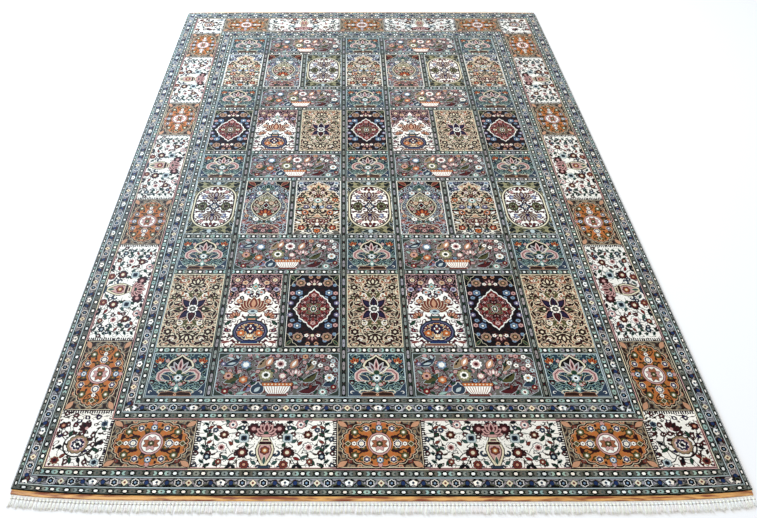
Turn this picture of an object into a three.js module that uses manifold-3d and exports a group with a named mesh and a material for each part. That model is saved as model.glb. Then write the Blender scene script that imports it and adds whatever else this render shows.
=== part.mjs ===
// A hand-knotted silk rug of compartment design, lying flat: the knotted cloth with its flat-woven
// end bands, the overcast cord along each long side, and the knotted fringe at each end.
// Millimetres, +Z up. The origin is the middle of the underside, the rug's length runs along Y, and
// the end at -Y is the near one.
import * as THREE from "three";
import { mergeVertices } from "three/addons/utils/BufferGeometryUtils.js";
import Module from "manifold-3d";

const wasm = await Module();
wasm.setup();

// Driving dimensions
const RUG_WIDTH = 1836; // over both side cords
const PILE_LENGTH = 2709; // from the outermost stripe at one end to that at the other
const PILE_HEIGHT = 6;
const PILE_ROUNDING = 1.2; // where the pile rolls off at its rim
const SEAM_GAP = 0.3; // between pieces that touch

const BAND_LENGTH = 12; // the plain gold band past the pile
const BAND_HEIGHT = 3.5;
const BAND_OVERLAP = 3; // how far the band's cloth runs in under the pile

const CORD_WIDTH = 4;
const CORD_HEIGHT = 5;
const CORD_ROUNDING = 1;

const WEB_LENGTH = 7; // the strip of bare warps that the fringe is knotted from
const WEB_HEIGHT = 2;
const LOCKS_PER_END = 140;
const LOCK_LEAN = 5; // the most that two locks' tips lean towards each other
const LOCK_UNEVENNESS = 5; // the most that a lock falls short of the full length

// The lie of the edges. A corner is drawn in towards the middle, most at its very tip.
const SIDE_SWELL = 4; // how much wider the rug is half way along than at its ends
const DRAW_REACH = 130; // how far from a corner the drawing-in fades
const ENDS = [
  { name: "near", towards: -1, drawnIn: 18 },
  { name: "far", towards: 1, drawnIn: 8 },
];

// One lock of the fringe, from its root in the web to its tip
const LOCK_SECTIONS = [
  { at: "root", along: 3, width: 5, height: 1.6 },
  { at: "knot", along: 9, width: 8.5, height: 4.4 },
  { at: "neck", along: 13, width: 4.6, height: 2.4 },
  { at: "middle", along: 24, width: 7.6, height: 2.6 },
  { at: "tip", along: 37, width: 5.4, height: 1.2 },
];

// Where the edge is sampled: shares of the half width and of the half length, closer near a corner
const ACROSS = [0, 0.35, 0.6, 0.75, 0.85, 0.92, 0.97, 1];
const ALONG = [0, 0.4, 0.75, 1];

const COLOURS = {
  pile: 0x6f7f78,
  cord: 0x2c3c38,
  fringe: 0xf1ede2,
};

const halfPile = PILE_LENGTH / 2;
const halfCloth = RUG_WIDTH / 2 - CORD_WIDTH - SEAM_GAP;

// Half the cloth's width at a distance y along the rug
function sideEdge(y) {
  const share = Math.min(1, Math.abs(y) / halfPile);
  return halfCloth - SIDE_SWELL * share * share;
}

// How far the pile's end reaches at a distance x from the middle, on the end's own side
function endEdge(end, x) {
  const fromCorner = Math.max(0, halfCloth - Math.abs(x));
  return halfPile - end.drawnIn * Math.exp(-fromCorner / DRAW_REACH);
}

// Points of an end's edge from one corner to the other, moved out by a distance
function endLine(end, moveOut) {
  const corner = sideEdge(halfPile);
  const shares = [...ACROSS.slice(1).reverse().map((s) => -s), ...ACROSS];
  return shares.map((share) => {
    const x = share * corner;
    return new THREE.Vector2(x, end.towards * (endEdge(end, x) + moveOut));
  });
}

// Points of the side at +X from the near corner to the far one, moved out by a distance
function sideLine(moveOut) {
  const shares = [...ALONG.slice(1).reverse().map((s) => -s), ...ALONG];
  return shares.map((share) => {
    const y = share * halfPile;
    const end = share < 0 ? ENDS[0] : ENDS[1];
    const reach = Math.abs(share) === 1 ? end.towards * endEdge(end, halfCloth) : y;
    return new THREE.Vector2(sideEdge(y) + moveOut, reach);
  });
}

function solidOf(geometry) {
  geometry.deleteAttribute("normal");
  geometry.deleteAttribute("uv");
  const merged = mergeVertices(geometry, 1e-3);
  return new wasm.Manifold(
    new wasm.Mesh({
      numProp: 3,
      vertProperties: new Float32Array(merged.attributes.position.array),
      triVerts: new Uint32Array(merged.index.array),
    }),
  );
}

function geometryOf(solid) {
  const mesh = solid.getMesh();
  const geometry = new THREE.BufferGeometry();
  geometry.setAttribute("position", new THREE.BufferAttribute(mesh.vertProperties, 3));
  geometry.setIndex(new THREE.BufferAttribute(mesh.triVerts, 1));
  return geometry;
}

function slab(outline, height) {
  return new THREE.ExtrudeGeometry(new THREE.Shape(outline), {
    depth: height,
    bevelEnabled: false,
    steps: 1,
  });
}

// A slab whose top and bottom rims are eased, inside the same outline
function easedSlab(outline, height, rounding) {
  const geometry = new THREE.ExtrudeGeometry(new THREE.Shape(outline), {
    depth: height - 2 * rounding,
    bevelEnabled: true,
    bevelThickness: rounding,
    bevelSize: rounding,
    bevelOffset: -rounding,
    bevelSegments: 2,
    steps: 1,
  });
  geometry.translate(0, 0, rounding);
  return geometry;
}

// A strip along one end, between two distances out from the pile's edge
function endStrip(end, from, to, height) {
  const inner = endLine(end, from);
  const outer = endLine(end, to).reverse();
  return solidOf(slab([...inner, ...outer], height));
}

function clothGeometry() {
  const [near, far] = ENDS;
  const right = sideLine(0);
  const left = right.map((p) => new THREE.Vector2(-p.x, p.y)).reverse();
  const outline = [
    ...endLine(near, 0).slice(1, -1),
    ...right,
    ...endLine(far, 0).reverse().slice(1, -1),
    ...left,
  ];
  let cloth = solidOf(easedSlab(outline, PILE_HEIGHT, PILE_ROUNDING));
  for (const end of ENDS) {
    cloth = cloth.add(endStrip(end, -BAND_OVERLAP, BAND_LENGTH, BAND_HEIGHT));
  }
  return geometryOf(cloth);
}

function cordGeometry() {
  const inner = sideLine(SEAM_GAP);
  const outer = sideLine(SEAM_GAP + CORD_WIDTH).reverse();
  return easedSlab([...inner, ...outer].reverse(), CORD_HEIGHT, CORD_ROUNDING);
}

// A repeatable stream of numbers from 0 to 1
function numbers(seed) {
  let state = seed;
  return () => {
    state = (state * 1664525 + 1013904223) % 4294967296;
    return state / 4294967296;
  };
}

// One lock: three-sided sections, flat underneath with a ridge on top, joined from root to tip
function lockSolid(end, x, lean, shortfall) {
  const root = endEdge(end, x) + BAND_LENGTH + SEAM_GAP;
  const full = LOCK_SECTIONS[LOCK_SECTIONS.length - 1].along;
  const points = [];
  for (const section of LOCK_SECTIONS) {
    const share = section.along / full;
    const y = end.towards * (root + section.along - shortfall * share * share);
    const middle = x + lean * share * share;
    points.push([middle - section.width / 2, y, 0]);
    points.push([middle + section.width / 2, y, 0]);
    points.push([middle, y, section.height]);
  }
  const faces = [[0, 1, 2]];
  for (let s = 0; s + 1 < LOCK_SECTIONS.length; s += 1) {
    for (let side = 0; side < 3; side += 1) {
      const a = 3 * s + side;
      const b = 3 * s + ((side + 1) % 3);
      faces.push([a, a + 3, b], [b, a + 3, b + 3]);
    }
  }
  const last = points.length - 3;
  faces.push([last, last + 2, last + 1]);
  // Listed for the near end; towards +Y the same faces would point inwards
  const outward = end.towards < 0 ? faces.map((f) => [...f].reverse()) : faces;
  return new wasm.Manifold(
    new wasm.Mesh({
      numProp: 3,
      vertProperties: new Float32Array(points.flat()),
      triVerts: new Uint32Array(outward.flat()),
    }),
  );
}

function fringeGeometry(end) {
  const web = endStrip(end, BAND_LENGTH + SEAM_GAP, BAND_LENGTH + SEAM_GAP + WEB_LENGTH, WEB_HEIGHT);
  const random = numbers(7);
  const locks = [];
  const pitch = (2 * sideEdge(halfPile)) / LOCKS_PER_END;
  for (let i = 0; i < LOCKS_PER_END; i += 1) {
    const x = (i + 0.5 - LOCKS_PER_END / 2) * pitch;
    const lean = (random() - 0.5) * LOCK_LEAN;
    locks.push(lockSolid(end, x, lean, random() * LOCK_UNEVENNESS));
  }
  return geometryOf(wasm.Manifold.union([web, ...locks]));
}

function material(colour) {
  return new THREE.MeshStandardMaterial({ color: colour, roughness: 0.8, metalness: 0 });
}

function piece(name, geometry, look) {
  const mesh = new THREE.Mesh(geometry, look);
  mesh.name = name;
  return mesh;
}

const cordLook = material(COLOURS.cord);
const fringeLook = material(COLOURS.fringe);

const rug = new THREE.Group();
rug.add(piece("rug_cloth", clothGeometry(), material(COLOURS.pile)));
rug.add(piece("side_cord_right", cordGeometry(), cordLook));
const leftCord = piece("side_cord_left", cordGeometry(), cordLook);
leftCord.scale.x = -1;
rug.add(leftCord);
for (const end of ENDS) {
  rug.add(piece(`fringe_${end.name}`, fringeGeometry(end), fringeLook));
}

export default rug;
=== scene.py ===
"""The looks of a hand-knotted silk rug of compartment design, lying flat on a pale floor.

The rug's pattern is drawn as flat shapes, in millimetres, on one chart for each kind of panel
and stripe. Each chart is cut into coloured triangles once and then laid wherever the rug repeats it.
"""
import sys
import cmath
import logging
import math
import random
from collections import defaultdict
from dataclasses import dataclass, field
from enum import Enum

import bmesh
import bpy
import numpy as np
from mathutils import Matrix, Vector
from mathutils.geometry import delaunay_2d_cdt


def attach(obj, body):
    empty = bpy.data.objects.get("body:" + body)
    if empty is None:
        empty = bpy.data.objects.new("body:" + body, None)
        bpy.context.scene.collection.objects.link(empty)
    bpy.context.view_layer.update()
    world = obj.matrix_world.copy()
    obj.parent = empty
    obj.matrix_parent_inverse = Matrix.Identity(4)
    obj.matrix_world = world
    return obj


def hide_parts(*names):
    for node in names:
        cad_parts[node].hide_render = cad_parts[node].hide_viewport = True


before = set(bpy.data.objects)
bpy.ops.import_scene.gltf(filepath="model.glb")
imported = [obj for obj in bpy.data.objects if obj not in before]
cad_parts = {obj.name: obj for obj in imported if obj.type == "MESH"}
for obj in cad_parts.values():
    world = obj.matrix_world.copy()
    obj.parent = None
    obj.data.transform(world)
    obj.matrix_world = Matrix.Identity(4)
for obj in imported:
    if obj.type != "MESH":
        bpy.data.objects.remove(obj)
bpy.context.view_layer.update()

MM = 0.001
log = logging.getLogger("rug")

# A point on a chart is a complex number: across to the right, and down the chart towards the near end
Outline = list[complex]
# The width of the line around a shape, in millimetres
RIM_WIDTH = 1.3


class Ink(Enum):
    """The silk's dyes, as display colours."""

    IVORY = "f4f0e6"
    CREAM = "e6dcc0"
    TAN = "ab9474"
    CAMEL = "b27a58"
    MAROON = "4c2024"
    WINE = "6b2c34"
    RUST = "8c4a3a"
    RED = "8e2c2c"
    NAVY = "0c0f22"
    INK = "0c0e12"
    PURPLE = "40335a"
    LAVENDER = "978fa8"
    PINK = "d4ada6"
    PEACH = "d2a684"
    ORANGE = "cf7f28"
    GOLD = "c28a3a"
    STRAW = "aaa47e"
    OLIVE = "66643a"
    MOSS = "434d34"
    GREEN = "2c5742"
    PINE = "17302b"
    TEAL = "4c6b64"
    MINT = "abc3b8"
    SKY = "94abbd"
    BLUE = "34507c"
    SLATE = "46586a"
    SEA = "335061"
    MIST = "c4cecc"
    FOG = "7c7d76"
    HAZE = "b0a9ab"
    STEEL = "a0a49b"
    SAGE = "827f76"
    FERN = "4a5449"
    BROWN = "4a3022"
    UMBER = "281b19"

    def linear(self) -> tuple[float, ...]:
        """The dye's red, green and blue in linear light."""
        return linear_colour(self.value)


# The dyes by their bare names, for the charts
(IVORY, CREAM, TAN, CAMEL, MAROON, WINE, RUST, RED, NAVY, INK, PURPLE, LAVENDER, PINK, PEACH, ORANGE,
 GOLD, STRAW, OLIVE, MOSS, GREEN, PINE, TEAL, MINT, SKY, BLUE, SLATE, SEA, MIST, FOG, HAZE, STEEL, SAGE,
 FERN, BROWN, UMBER) = Ink


def linear_colour(code: str) -> tuple[float, ...]:
    """Turn a display colour into linear light.

    Args:
        code: six hexadecimal digits, red first.

    Returns:
        Red, green and blue from 0 to 1.
    """
    shares = [int(code[at:at + 2], 16) / 255 for at in (0, 2, 4)]
    return tuple(s / 12.92 if s <= 0.04045 else ((s + 0.055) / 1.055) ** 2.4 for s in shares)


class Mirror(Enum):
    """Which twins a shape gets: the signs of their two directions."""

    NONE = ((1, 1),)
    SIDES = ((1, 1), (-1, 1))
    BOTH = ((1, 1), (-1, 1), (1, -1), (-1, -1))


# Outlines
def signed_area(outline: Outline) -> float:
    """Twice the area inside an outline, positive where it turns from the first axis to the second."""
    return sum((a.conjugate() * b).imag for a, b in zip(outline, outline[1:] + outline[:1]))


def smooth(corners: Outline, steps: int, closed: bool = True) -> Outline:
    """Lead a smooth line through some points.

    Args:
        corners: the points that it passes.
        steps: short straight stretches between two points.
        closed: whether it returns to its start.

    Returns:
        The line's points.
    """
    count = len(corners)
    line = []
    for i in range(count if closed else count - 1):
        a, b, c, d = [corners[k % count] if closed else corners[min(max(k, 0), count - 1)]
                      for k in range(i - 1, i + 3)]
        for step in range(steps):
            t = step / steps
            bend = (2 * a - 5 * b + 4 * c - d) * t * t + (3 * b - a - 3 * c + d) * t ** 3
            line.append((2 * b + (c - a) * t + bend) / 2)
    return line if closed else [*line, corners[-1]]


def grown(outline: Outline, by: float) -> Outline:
    """Move an outline outwards.

    Args:
        outline: the closed outline, turning from the first axis to the second.
        by: how far it moves.

    Returns:
        The moved outline, with as many points.
    """
    moved = []
    for i, here in enumerate(outline):
        before = here - outline[i - 1]
        after = outline[(i + 1) % len(outline)] - here
        normal = -1j * (before / max(abs(before), 1e-9) + after / max(abs(after), 1e-9))
        moved.append(here + 2 * by * normal / max(abs(normal), 1.0) ** 2)
    return moved


def rectangle(left: float, top: float, right: float, bottom: float) -> Outline:
    """A rectangle's outline, given its edges."""
    return [complex(left, top), complex(right, top), complex(right, bottom), complex(left, bottom)]


def both_sides(half: Outline) -> Outline:
    """Complete the right half of an outline with its twin on the left."""
    return half + [complex(-p.real, p.imag) for p in reversed(half) if p.real]


def ellipse(at: complex, across: float, along: float, points: int) -> Outline:
    """An ellipse's outline, given its two radii."""
    angles = [2 * math.pi * i / points for i in range(points)]
    return [at + complex(across * math.cos(a), along * math.sin(a)) for a in angles]


def lobed(at: complex, across: float, along: float, lobes: int, depth: float = 0.2,
          turn: float = 0.0) -> Outline:
    """A scalloped ellipse.

    Args:
        at: its middle.
        across: its first radius, over the lobes.
        along: its second radius, over the lobes.
        lobes: how many lobes go round it.
        depth: how deep the notches are, as a share of the radius.
        turn: the angle of the first notch, in degrees.

    Returns:
        The outline, with four points a lobe.
    """
    line = []
    for i in range(4 * lobes):
        angle = 2 * math.pi * i / (4 * lobes) + math.radians(turn)
        reach = 1 - depth * (1, 0.25, 0, 0.25)[i % 4]
        line.append(at + reach * complex(across * math.cos(angle), along * math.sin(angle)))
    return line


def leaf_outline(base: complex, tip: complex, width: float, bend: float = 0.0) -> Outline:
    """A pointed leaf.

    Args:
        base: where it springs from.
        tip: its point.
        width: its greatest width.
        bend: how far it bows to one side, as a share of its length.

    Returns:
        The outline.
    """
    axis = tip - base
    side = 1j * axis / abs(axis)
    profile = ((0.14, 0.55), (0.4, 1.0), (0.66, 0.82), (0.87, 0.36))

    def along(t: float, half: float) -> complex:
        """A point at a share of the leaf's length and width."""
        return base + axis * t + side * (half * width / 2 + bend * abs(axis) * 4 * t * (1 - t))

    one = [along(t, w) for t, w in profile]
    other = [along(t, -w) for t, w in reversed(profile)]
    return [base, *one, tip, *other]


def ribbon(path: Outline, width: float, ends: float = 0.4, steps: int = 3) -> Outline:
    """A vine of some width along a smooth line.

    Args:
        path: the points that it passes.
        width: its greatest width.
        ends: its width at its two ends, as a share.
        steps: short stretches between two points.

    Returns:
        The outline.
    """
    line = smooth(path, steps, closed=False)
    last = len(line) - 1
    one, other = [], []
    for i, here in enumerate(line):
        ahead = line[min(i + 1, last)] - line[max(i - 1, 0)]
        half = width / 2 * (ends + (1 - ends) * math.sin(math.pi * i / last))
        offset = 1j * half * ahead / max(abs(ahead), 1e-9)
        one.append(here + offset)
        other.append(here - offset)
    return one + other[::-1]


@dataclass
class Patch:
    """Coloured triangles cut from one chart, in millimetres about its middle."""

    width: float
    height: float
    points: np.ndarray
    faces: np.ndarray
    colours: dict[str, np.ndarray]
    mirror: Mirror


@dataclass(frozen=True)
class Filling:
    """The scrolls and small blossoms that are knotted into a ground between its motifs.

    Attributes:
        scroll: the colour of the scrolls.
        edge: the colour along both sides of a scroll.
        blossom: the colour of some of the blossoms.
        leaf: the colour of the others.
        amount: how broad the scrolls are, beside a usual breadth of 1.
    """

    scroll: Ink
    edge: Ink
    blossom: Ink
    leaf: Ink
    amount: float = 1.0


@dataclass
class Chart:
    """The pattern of one panel or stripe: shapes laid over each other on a ground."""

    width: float
    height: float
    ground: Ink
    mirror: Mirror = Mirror.NONE
    shapes: list[tuple[Outline, Ink]] = field(default_factory=list)
    fillings: dict[Ink, Filling] = field(default_factory=dict)

    def fill(self, ground: Ink, *filling: Ink | float) -> None:
        """Have a ground filled between the motifs, with the colours and the amount of a Filling."""
        self.fillings[ground] = Filling(*filling)

    def lay(self, outline: Outline, ink: Ink, rim: Ink | None = None, rim_width: float = RIM_WIDTH) -> None:
        """Lay a shape and its twins on the chart.

        Args:
            outline: the shape's closed outline.
            ink: its colour.
            rim: the colour of a line around it, if it has one.
            rim_width: that line's width.
        """
        twins: list[Outline] = []
        middles: list[complex] = []
        for across, down in self.mirror.value:
            twin = [complex(across * p.real, down * p.imag) for p in outline]
            middle = sum(twin) / len(twin)
            # A twin that falls on one that is there already isn't laid again
            if any(abs(middle - other) < 0.4 for other in middles):
                continue
            middles.append(middle)
            twins.append(twin if signed_area(twin) > 0 else twin[::-1])
        if rim:
            self.shapes += [(grown(twin, rim_width), rim) for twin in twins]
        self.shapes += [(twin, ink) for twin in twins]

    def block(self, left: float, top: float, right: float, bottom: float, ink: Ink) -> None:
        """Lay a plain rectangle, given its edges."""
        self.lay(rectangle(left, top, right, bottom), ink)

    def inset(self, by: float, ink: Ink) -> None:
        """Lay a rectangle that leaves a margin all round the chart."""
        across, down = self.width / 2 - by, self.height / 2 - by
        self.block(-across, -down, across, down, ink)

    def disc(self, at: complex, across: float, ink: Ink, rim: Ink | None = None,
             along: float | None = None, rim_width: float = RIM_WIDTH) -> None:
        """Lay a round or oval dot, given its radii."""
        self.lay(ellipse(at, across, along or across, 8 if across < 5 else 14), ink, rim, rim_width)

    def leaf(self, base: complex, tip: complex, width: float, ink: Ink, rim: Ink | None = None,
             bend: float = 0.0, rim_width: float = RIM_WIDTH) -> None:
        """Lay one pointed leaf or petal."""
        self.lay(leaf_outline(base, tip, width, bend), ink, rim, rim_width)

    def leaves(self, rows: tuple[tuple[complex, complex, Ink], ...], width: float, rim: Ink) -> None:
        """Lay small leaves with a fine rim, given the base, the tip and the colour of each."""
        for base, tip, ink in rows:
            self.leaf(base, tip, width, ink, rim, rim_width=0.8)

    def vine(self, path: Outline, width: float, ink: Ink, ends: float = 0.4) -> None:
        """Lay a stem along a smooth line."""
        self.lay(ribbon(path, width, ends), ink)

    def curl(self, at: complex, radius: float, ink: Ink, width: float = 3.0, start: float = 0.0,
             turns: float = 0.9, rim: Ink | None = None) -> None:
        """Lay a tendril that winds in towards its middle.

        Args:
            at: the middle.
            radius: how far out it starts.
            ink: its colour.
            width: its width.
            start: the angle where it starts, in degrees.
            turns: how often it goes round, negative for the other hand.
            rim: the colour of a line around it.
        """
        steps = 9
        path = []
        for i in range(steps):
            share = i / (steps - 1)
            angle = math.radians(start) + 2 * math.pi * turns * share
            path.append(at + cmath.rect(radius * (1 - 0.72 * share), angle))
        self.lay(ribbon(path, width, steps=1), ink, rim, 1.0)

    def flower(self, at: complex, radius: float, ink: Ink, heart: Ink, petals: int = 6,
               rim: Ink | None = None, ring: Ink | None = None, turn: float = 0.0) -> None:
        """Lay an open flower.

        Args:
            at: the middle.
            radius: its radius.
            ink: the petals' colour.
            heart: the colour of its middle.
            petals: how many it has.
            rim: the colour of a line around it.
            ring: the colour of a ring around its heart.
            turn: the angle of the first notch, in degrees.
        """
        self.lay(lobed(at, radius, radius, petals, 0.24, turn), ink, rim)
        if ring:
            self.lay(lobed(at, 0.62 * radius, 0.62 * radius, petals, 0.2, turn), ring)
        self.lay(ellipse(at, 0.34 * radius, 0.34 * radius, 8), heart)

    def fan(self, at: complex, radius: float, heading: float, outer: Ink, inner: Ink, heart: Ink,
            leaves: int = 5, spread: float = 160.0, rim: Ink | None = None) -> None:
        """Lay a lotus in profile: leaves that spread from one point, with smaller ones on them.

        Args:
            at: the point that they spread from.
            radius: the length of the middle leaf.
            heading: the way that it points, in degrees.
            outer: the leaves' colour.
            inner: the smaller leaves' colour.
            heart: the colour of the cup at the point.
            leaves: how many it has.
            spread: the angle between the outermost two.
            rim: the colour of a line around each leaf.
        """
        turns = [spread * (i / (leaves - 1) - 0.5) for i in range(leaves)]
        for turn in sorted(turns, key=abs, reverse=True):
            way = cmath.rect(1, math.radians(heading + turn))
            reach = radius * (1 - 0.28 * abs(turn) / spread)
            self.leaf(at, at + reach * way, 0.52 * radius, outer, rim)
            self.leaf(at + 0.2 * reach * way, at + 0.8 * reach * way, 0.26 * radius, inner)
        self.disc(at, 0.2 * radius, heart)

    def cut(self) -> Patch:
        """Cut the chart into triangles that each have the colour of the topmost shape.

        Returns:
            The triangles, facing up once the chart is laid on the rug.
        """
        across, down = self.width / 2, self.height / 2
        edge = rectangle(-across, -down, across, down)
        points: list[Vector] = []
        rings: list[list[int]] = []
        for outline in [edge, *(shape for shape, _ in self.shapes)]:
            rings.append(list(range(len(points), len(points) + len(outline))))
            points += [Vector((p.real, p.imag)) for p in outline]
        cut_points, _, faces, _, _, layers = delaunay_2d_cdt(points, [], rings, 1, 1e-4, True)
        inks = [self.ground, *(ink for _, ink in self.shapes)]
        kept = [i for i, under in enumerate(layers) if 0 in under]
        tops = [inks[max(layers[i])] for i in kept]
        nothing = (0.0, 0.0, 0.0, 0.0)
        rows = {ink: dict.fromkeys(("dye", "scroll", "edge", "blossom", "leaf"), nothing) for ink in Ink}
        for ink, row in rows.items():
            row["dye"] = (*ink.linear(), 1.0)
        # The edge's fourth number is a seed that sets one filling's scrolls apart from another's
        for seed, (ink, filling) in enumerate(self.fillings.items()):
            rows[ink]["scroll"] = (*filling.scroll.linear(), filling.amount)
            rows[ink]["edge"] = (*filling.edge.linear(), 1.0 + seed + self.width % 7)
            rows[ink]["blossom"] = (*filling.blossom.linear(), 1.0)
            rows[ink]["leaf"] = (*filling.leaf.linear(), 1.0)
        colours = {name: [rows[ink][name] for ink in tops] for name in rows[IVORY]}
        return Patch(
            self.width,
            self.height,
            np.array([tuple(p) for p in cut_points]),
            np.array([faces[i] for i in kept]),
            {name: np.array(values) for name, values in colours.items()},
            self.mirror,
        )


# Panels of the field
TALL = (165.0, 301.0)
SMALL = (165.0, 151.0)
DOUBLE = (351.5, 151.0)


def star_panel() -> Chart:
    """The panel with an eight-petalled star on a camel ground.

    Returns:
        The chart.
    """
    chart = Chart(*TALL, CREAM, Mirror.BOTH)
    chart.inset(2.6, CAMEL)
    chart.fill(CAMEL, MAROON, CREAM, RUST, OLIVE, 1.15)
    chart.vine([6-56j, 22-70j, 36-84j, 34-102j, 24-116j, 30-130j, 44-128j], 2.6, CREAM)
    chart.vine([81-62j, 66-70j, 50-72j, 44-62j], 2.6, CREAM)
    chart.curl(32-58j, 13, IVORY, 3.4, start=60, turns=0.9)
    chart.curl(54-50j, 12, BROWN, 4.4, start=-60, turns=-0.8)
    chart.curl(64-120j, 11, BROWN, 3.6, start=120, turns=0.9)
    chart.curl(44-122j, 8, IVORY, 2.8, start=0, turns=0.9)
    chart.leaf(7-46j, 22-68j, 9, OLIVE, STRAW)
    chart.flower(60-92j, 14, BROWN, CREAM, 6, CREAM, MAROON)
    chart.flower(20-84j, 6.5, PEACH, MAROON, 5, IVORY)
    chart.leaf(74-6j, 64-34j, 10, BROWN, CREAM)
    chart.fan(0-102j, 32, -90, MAROON, CREAM, BROWN, 5, 170, BROWN)
    chart.leaf(0-96j, 20-88j, 9, BROWN, CREAM)
    chart.lay([0-88j, 9-77j, 0-66j, -9-77j], MAROON, CREAM)
    chart.leaf(0j, 54+0j, 25, MOSS, STRAW)
    chart.leaf(8+0j, 48+0j, 14, MAROON)
    chart.disc(34+0j, 4.6, CREAM)
    chart.leaf(0j, 36-40j, 25, INK, PINK, rim_width=2.2)
    chart.leaf(9-10j, 32-35j, 14, PURPLE)
    chart.mirror = Mirror.SIDES
    for tip, outer, inner in ((-50j, MAROON, PURPLE), (54j, MAROON, WINE)):
        chart.leaf(0j, tip, 24, outer, IVORY, rim_width=1.8)
        chart.leaf(tip * 0.25, tip * 0.86, 11, inner)
        chart.leaf(tip * 0.45, tip * 0.74, 5, NAVY)
    chart.flower(0j, 17, IVORY, SAGE, 8, NAVY)
    chart.disc(0j, 10.5, NAVY)
    chart.flower(0j, 8.5, SAGE, IVORY, 6)
    return chart


def vase_panel() -> Chart:
    """The panel with a round vase of flowers under a stepped arch, on an ivory ground.

    Returns:
        The chart.
    """
    chart = Chart(*TALL, IVORY, Mirror.SIDES)
    chart.inset(2.2, PURPLE)
    chart.inset(3.4, IVORY)
    chart.fill(IVORY, WINE, IVORY, PURPLE, PINE, 0.8)
    chart.fill(UMBER, PURPLE, PINK, LAVENDER, WINE, 0.6)
    chart.fill(GOLD, PURPLE, CREAM, RUST, PURPLE, 1.0)
    steps = [0-136j, 7-124j, 12-108j, 19-107j, 27-99j, 33-82j, 42-70j, 50-66j, 58-51j, 68-45j,
             74-31j, 80-15j]
    chart.lay([0-148.2j, 80-148.2j, *reversed(steps)], UMBER, PINK, 2.0)
    chart.vine([10-138j, 30-132j, 44-114j, 56-100j, 72-92j], 2.6, RUST)
    chart.flower(60-124j, 13, MAROON, PEACH, 7, PINK, CREAM)
    chart.flower(34-112j, 8, PEACH, MAROON, 5, CREAM)
    chart.flower(67-83j, 9, LAVENDER, MAROON, 6, IVORY)
    chart.curl(73-60j, 7, GOLD, 2.6, start=180, turns=0.9)
    chart.flower(20-70j, 9.5, MIST, ORANGE, 6, TEAL, PINK)
    chart.lay([0-110j, 10-95j, 0-81j, -10-95j], MINT, GREEN, 1.8)
    chart.disc(0-95j, 4, ORANGE)
    chart.flower(45-32j, 9, PEACH, IVORY, 6, RUST)
    chart.fan(0+4j, 54, -90, RUST, PEACH, PEACH, 9, 160, CREAM)
    chart.disc(0+11j, 15, MIST, SLATE, along=9)
    chart.disc(0+10j, 7, SLATE, along=4)
    chart.fan(50+34j, 26, -62, RUST, PEACH, GREEN, 5, 130)
    chart.leaf(78+66j, 62+48j, 10, GREEN, PINE)
    chart.curl(66+84j, 11, RED, 4, start=-90, turns=0.8)
    chart.curl(67+108j, 12, PINE, 4.4, start=-60, turns=-0.85)
    chart.leaf(80+134j, 58+128j, 8, RUST, PINK)
    chart.block(-17, 34, 17, 52, SLATE)
    chart.block(-11, 34, 11, 52, PEACH)
    chart.disc(0+34j, 20, TEAL, NAVY, along=4)
    chart.disc(0+91j, 52, SLATE, NAVY, along=45, rim_width=2.4)
    chart.disc(0+91j, 46, PURPLE, LAVENDER, along=39)
    chart.disc(0+91j, 41, GOLD, along=34)
    chart.flower(27+97j, 11, ORANGE, CREAM, 6, MAROON)
    chart.flower(0+80j, 19, PURPLE, IVORY, 8, NAVY)
    chart.lay([0+64j, 10+80j, 0+96j, -10+80j], IVORY, NAVY)
    chart.disc(0+80j, 4, RED)
    chart.lay([-20+128j, 20+128j, 27+137j, -27+137j], BLUE, NAVY)
    chart.lay([-38+138j, 38+138j, 44+145j, -44+145j], RUST, CREAM)
    return chart


def navy_panel() -> Chart:
    """The panel with a red scalloped lozenge on a navy ground.

    Returns:
        The chart.
    """
    chart = Chart(*TALL, SLATE, Mirror.BOTH)
    chart.inset(2.0, IVORY)
    chart.inset(3.8, NAVY)
    chart.fill(NAVY, MAROON, NAVY, PEACH, SKY, 0.6)
    chart.fill(RED, MAROON, PINK, MAROON, PINE, 0.5)
    chart.lay([78.7-146.7j, 44-146.7j, 50-138j, 58-134j, 60-122j, 68-116j, 71-104j, 78.7-98j],
              INK, CREAM)
    chart.leaf(76-142j, 62-124j, 8, GREEN, STRAW)
    chart.fan(0-106j, 26, -90, MAROON, PINK, CREAM, 5, 170, WINE)
    chart.flower(43-111j, 15, TAN, PEACH, 7, PINK, BROWN)
    chart.flower(18-106j, 6.5, IVORY, ORANGE, 5)
    chart.flower(47-68j, 12, SKY, IVORY, 6, BLUE, SLATE)
    chart.flower(68-66j, 8, PINK, WINE, 6, WINE)
    chart.flower(71-24j, 8.5, LAVENDER, IVORY, 6, PURPLE)
    chart.disc(75+0j, 3.4, MINT)
    upper = [0-86j, 7-76j, 16-70j, 20-58j, 28-55j, 34-46j, 44-40j, 45-29j, 52-22j, 54-11j, 64+0j]
    lozenge = both_sides(upper + [p.conjugate() for p in reversed(upper[:-1])])
    chart.lay(lozenge, IVORY, INK, 1.8)
    chart.lay([p * 0.91 for p in lozenge], RED, MAROON, 1.0)
    chart.flower(28-27j, 13, RED, PINK, 7, MAROON, MAROON)
    chart.flower(0-58j, 8, PINK, NAVY, 6, NAVY)
    chart.disc(30+0j, 8, CREAM, GREEN, along=6)
    chart.disc(30+0j, 3.6, GREEN, along=3)
    chart.disc(53+0j, 4, CREAM, MAROON)
    chart.curl(13-12j, 10, GREEN, 3.4, start=180, turns=0.8, rim=STRAW)
    chart.lay(lobed(0j, 9, 13, 8), GREEN, IVORY)
    chart.disc(0j, 3.6, CREAM, along=6)
    return chart


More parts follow.
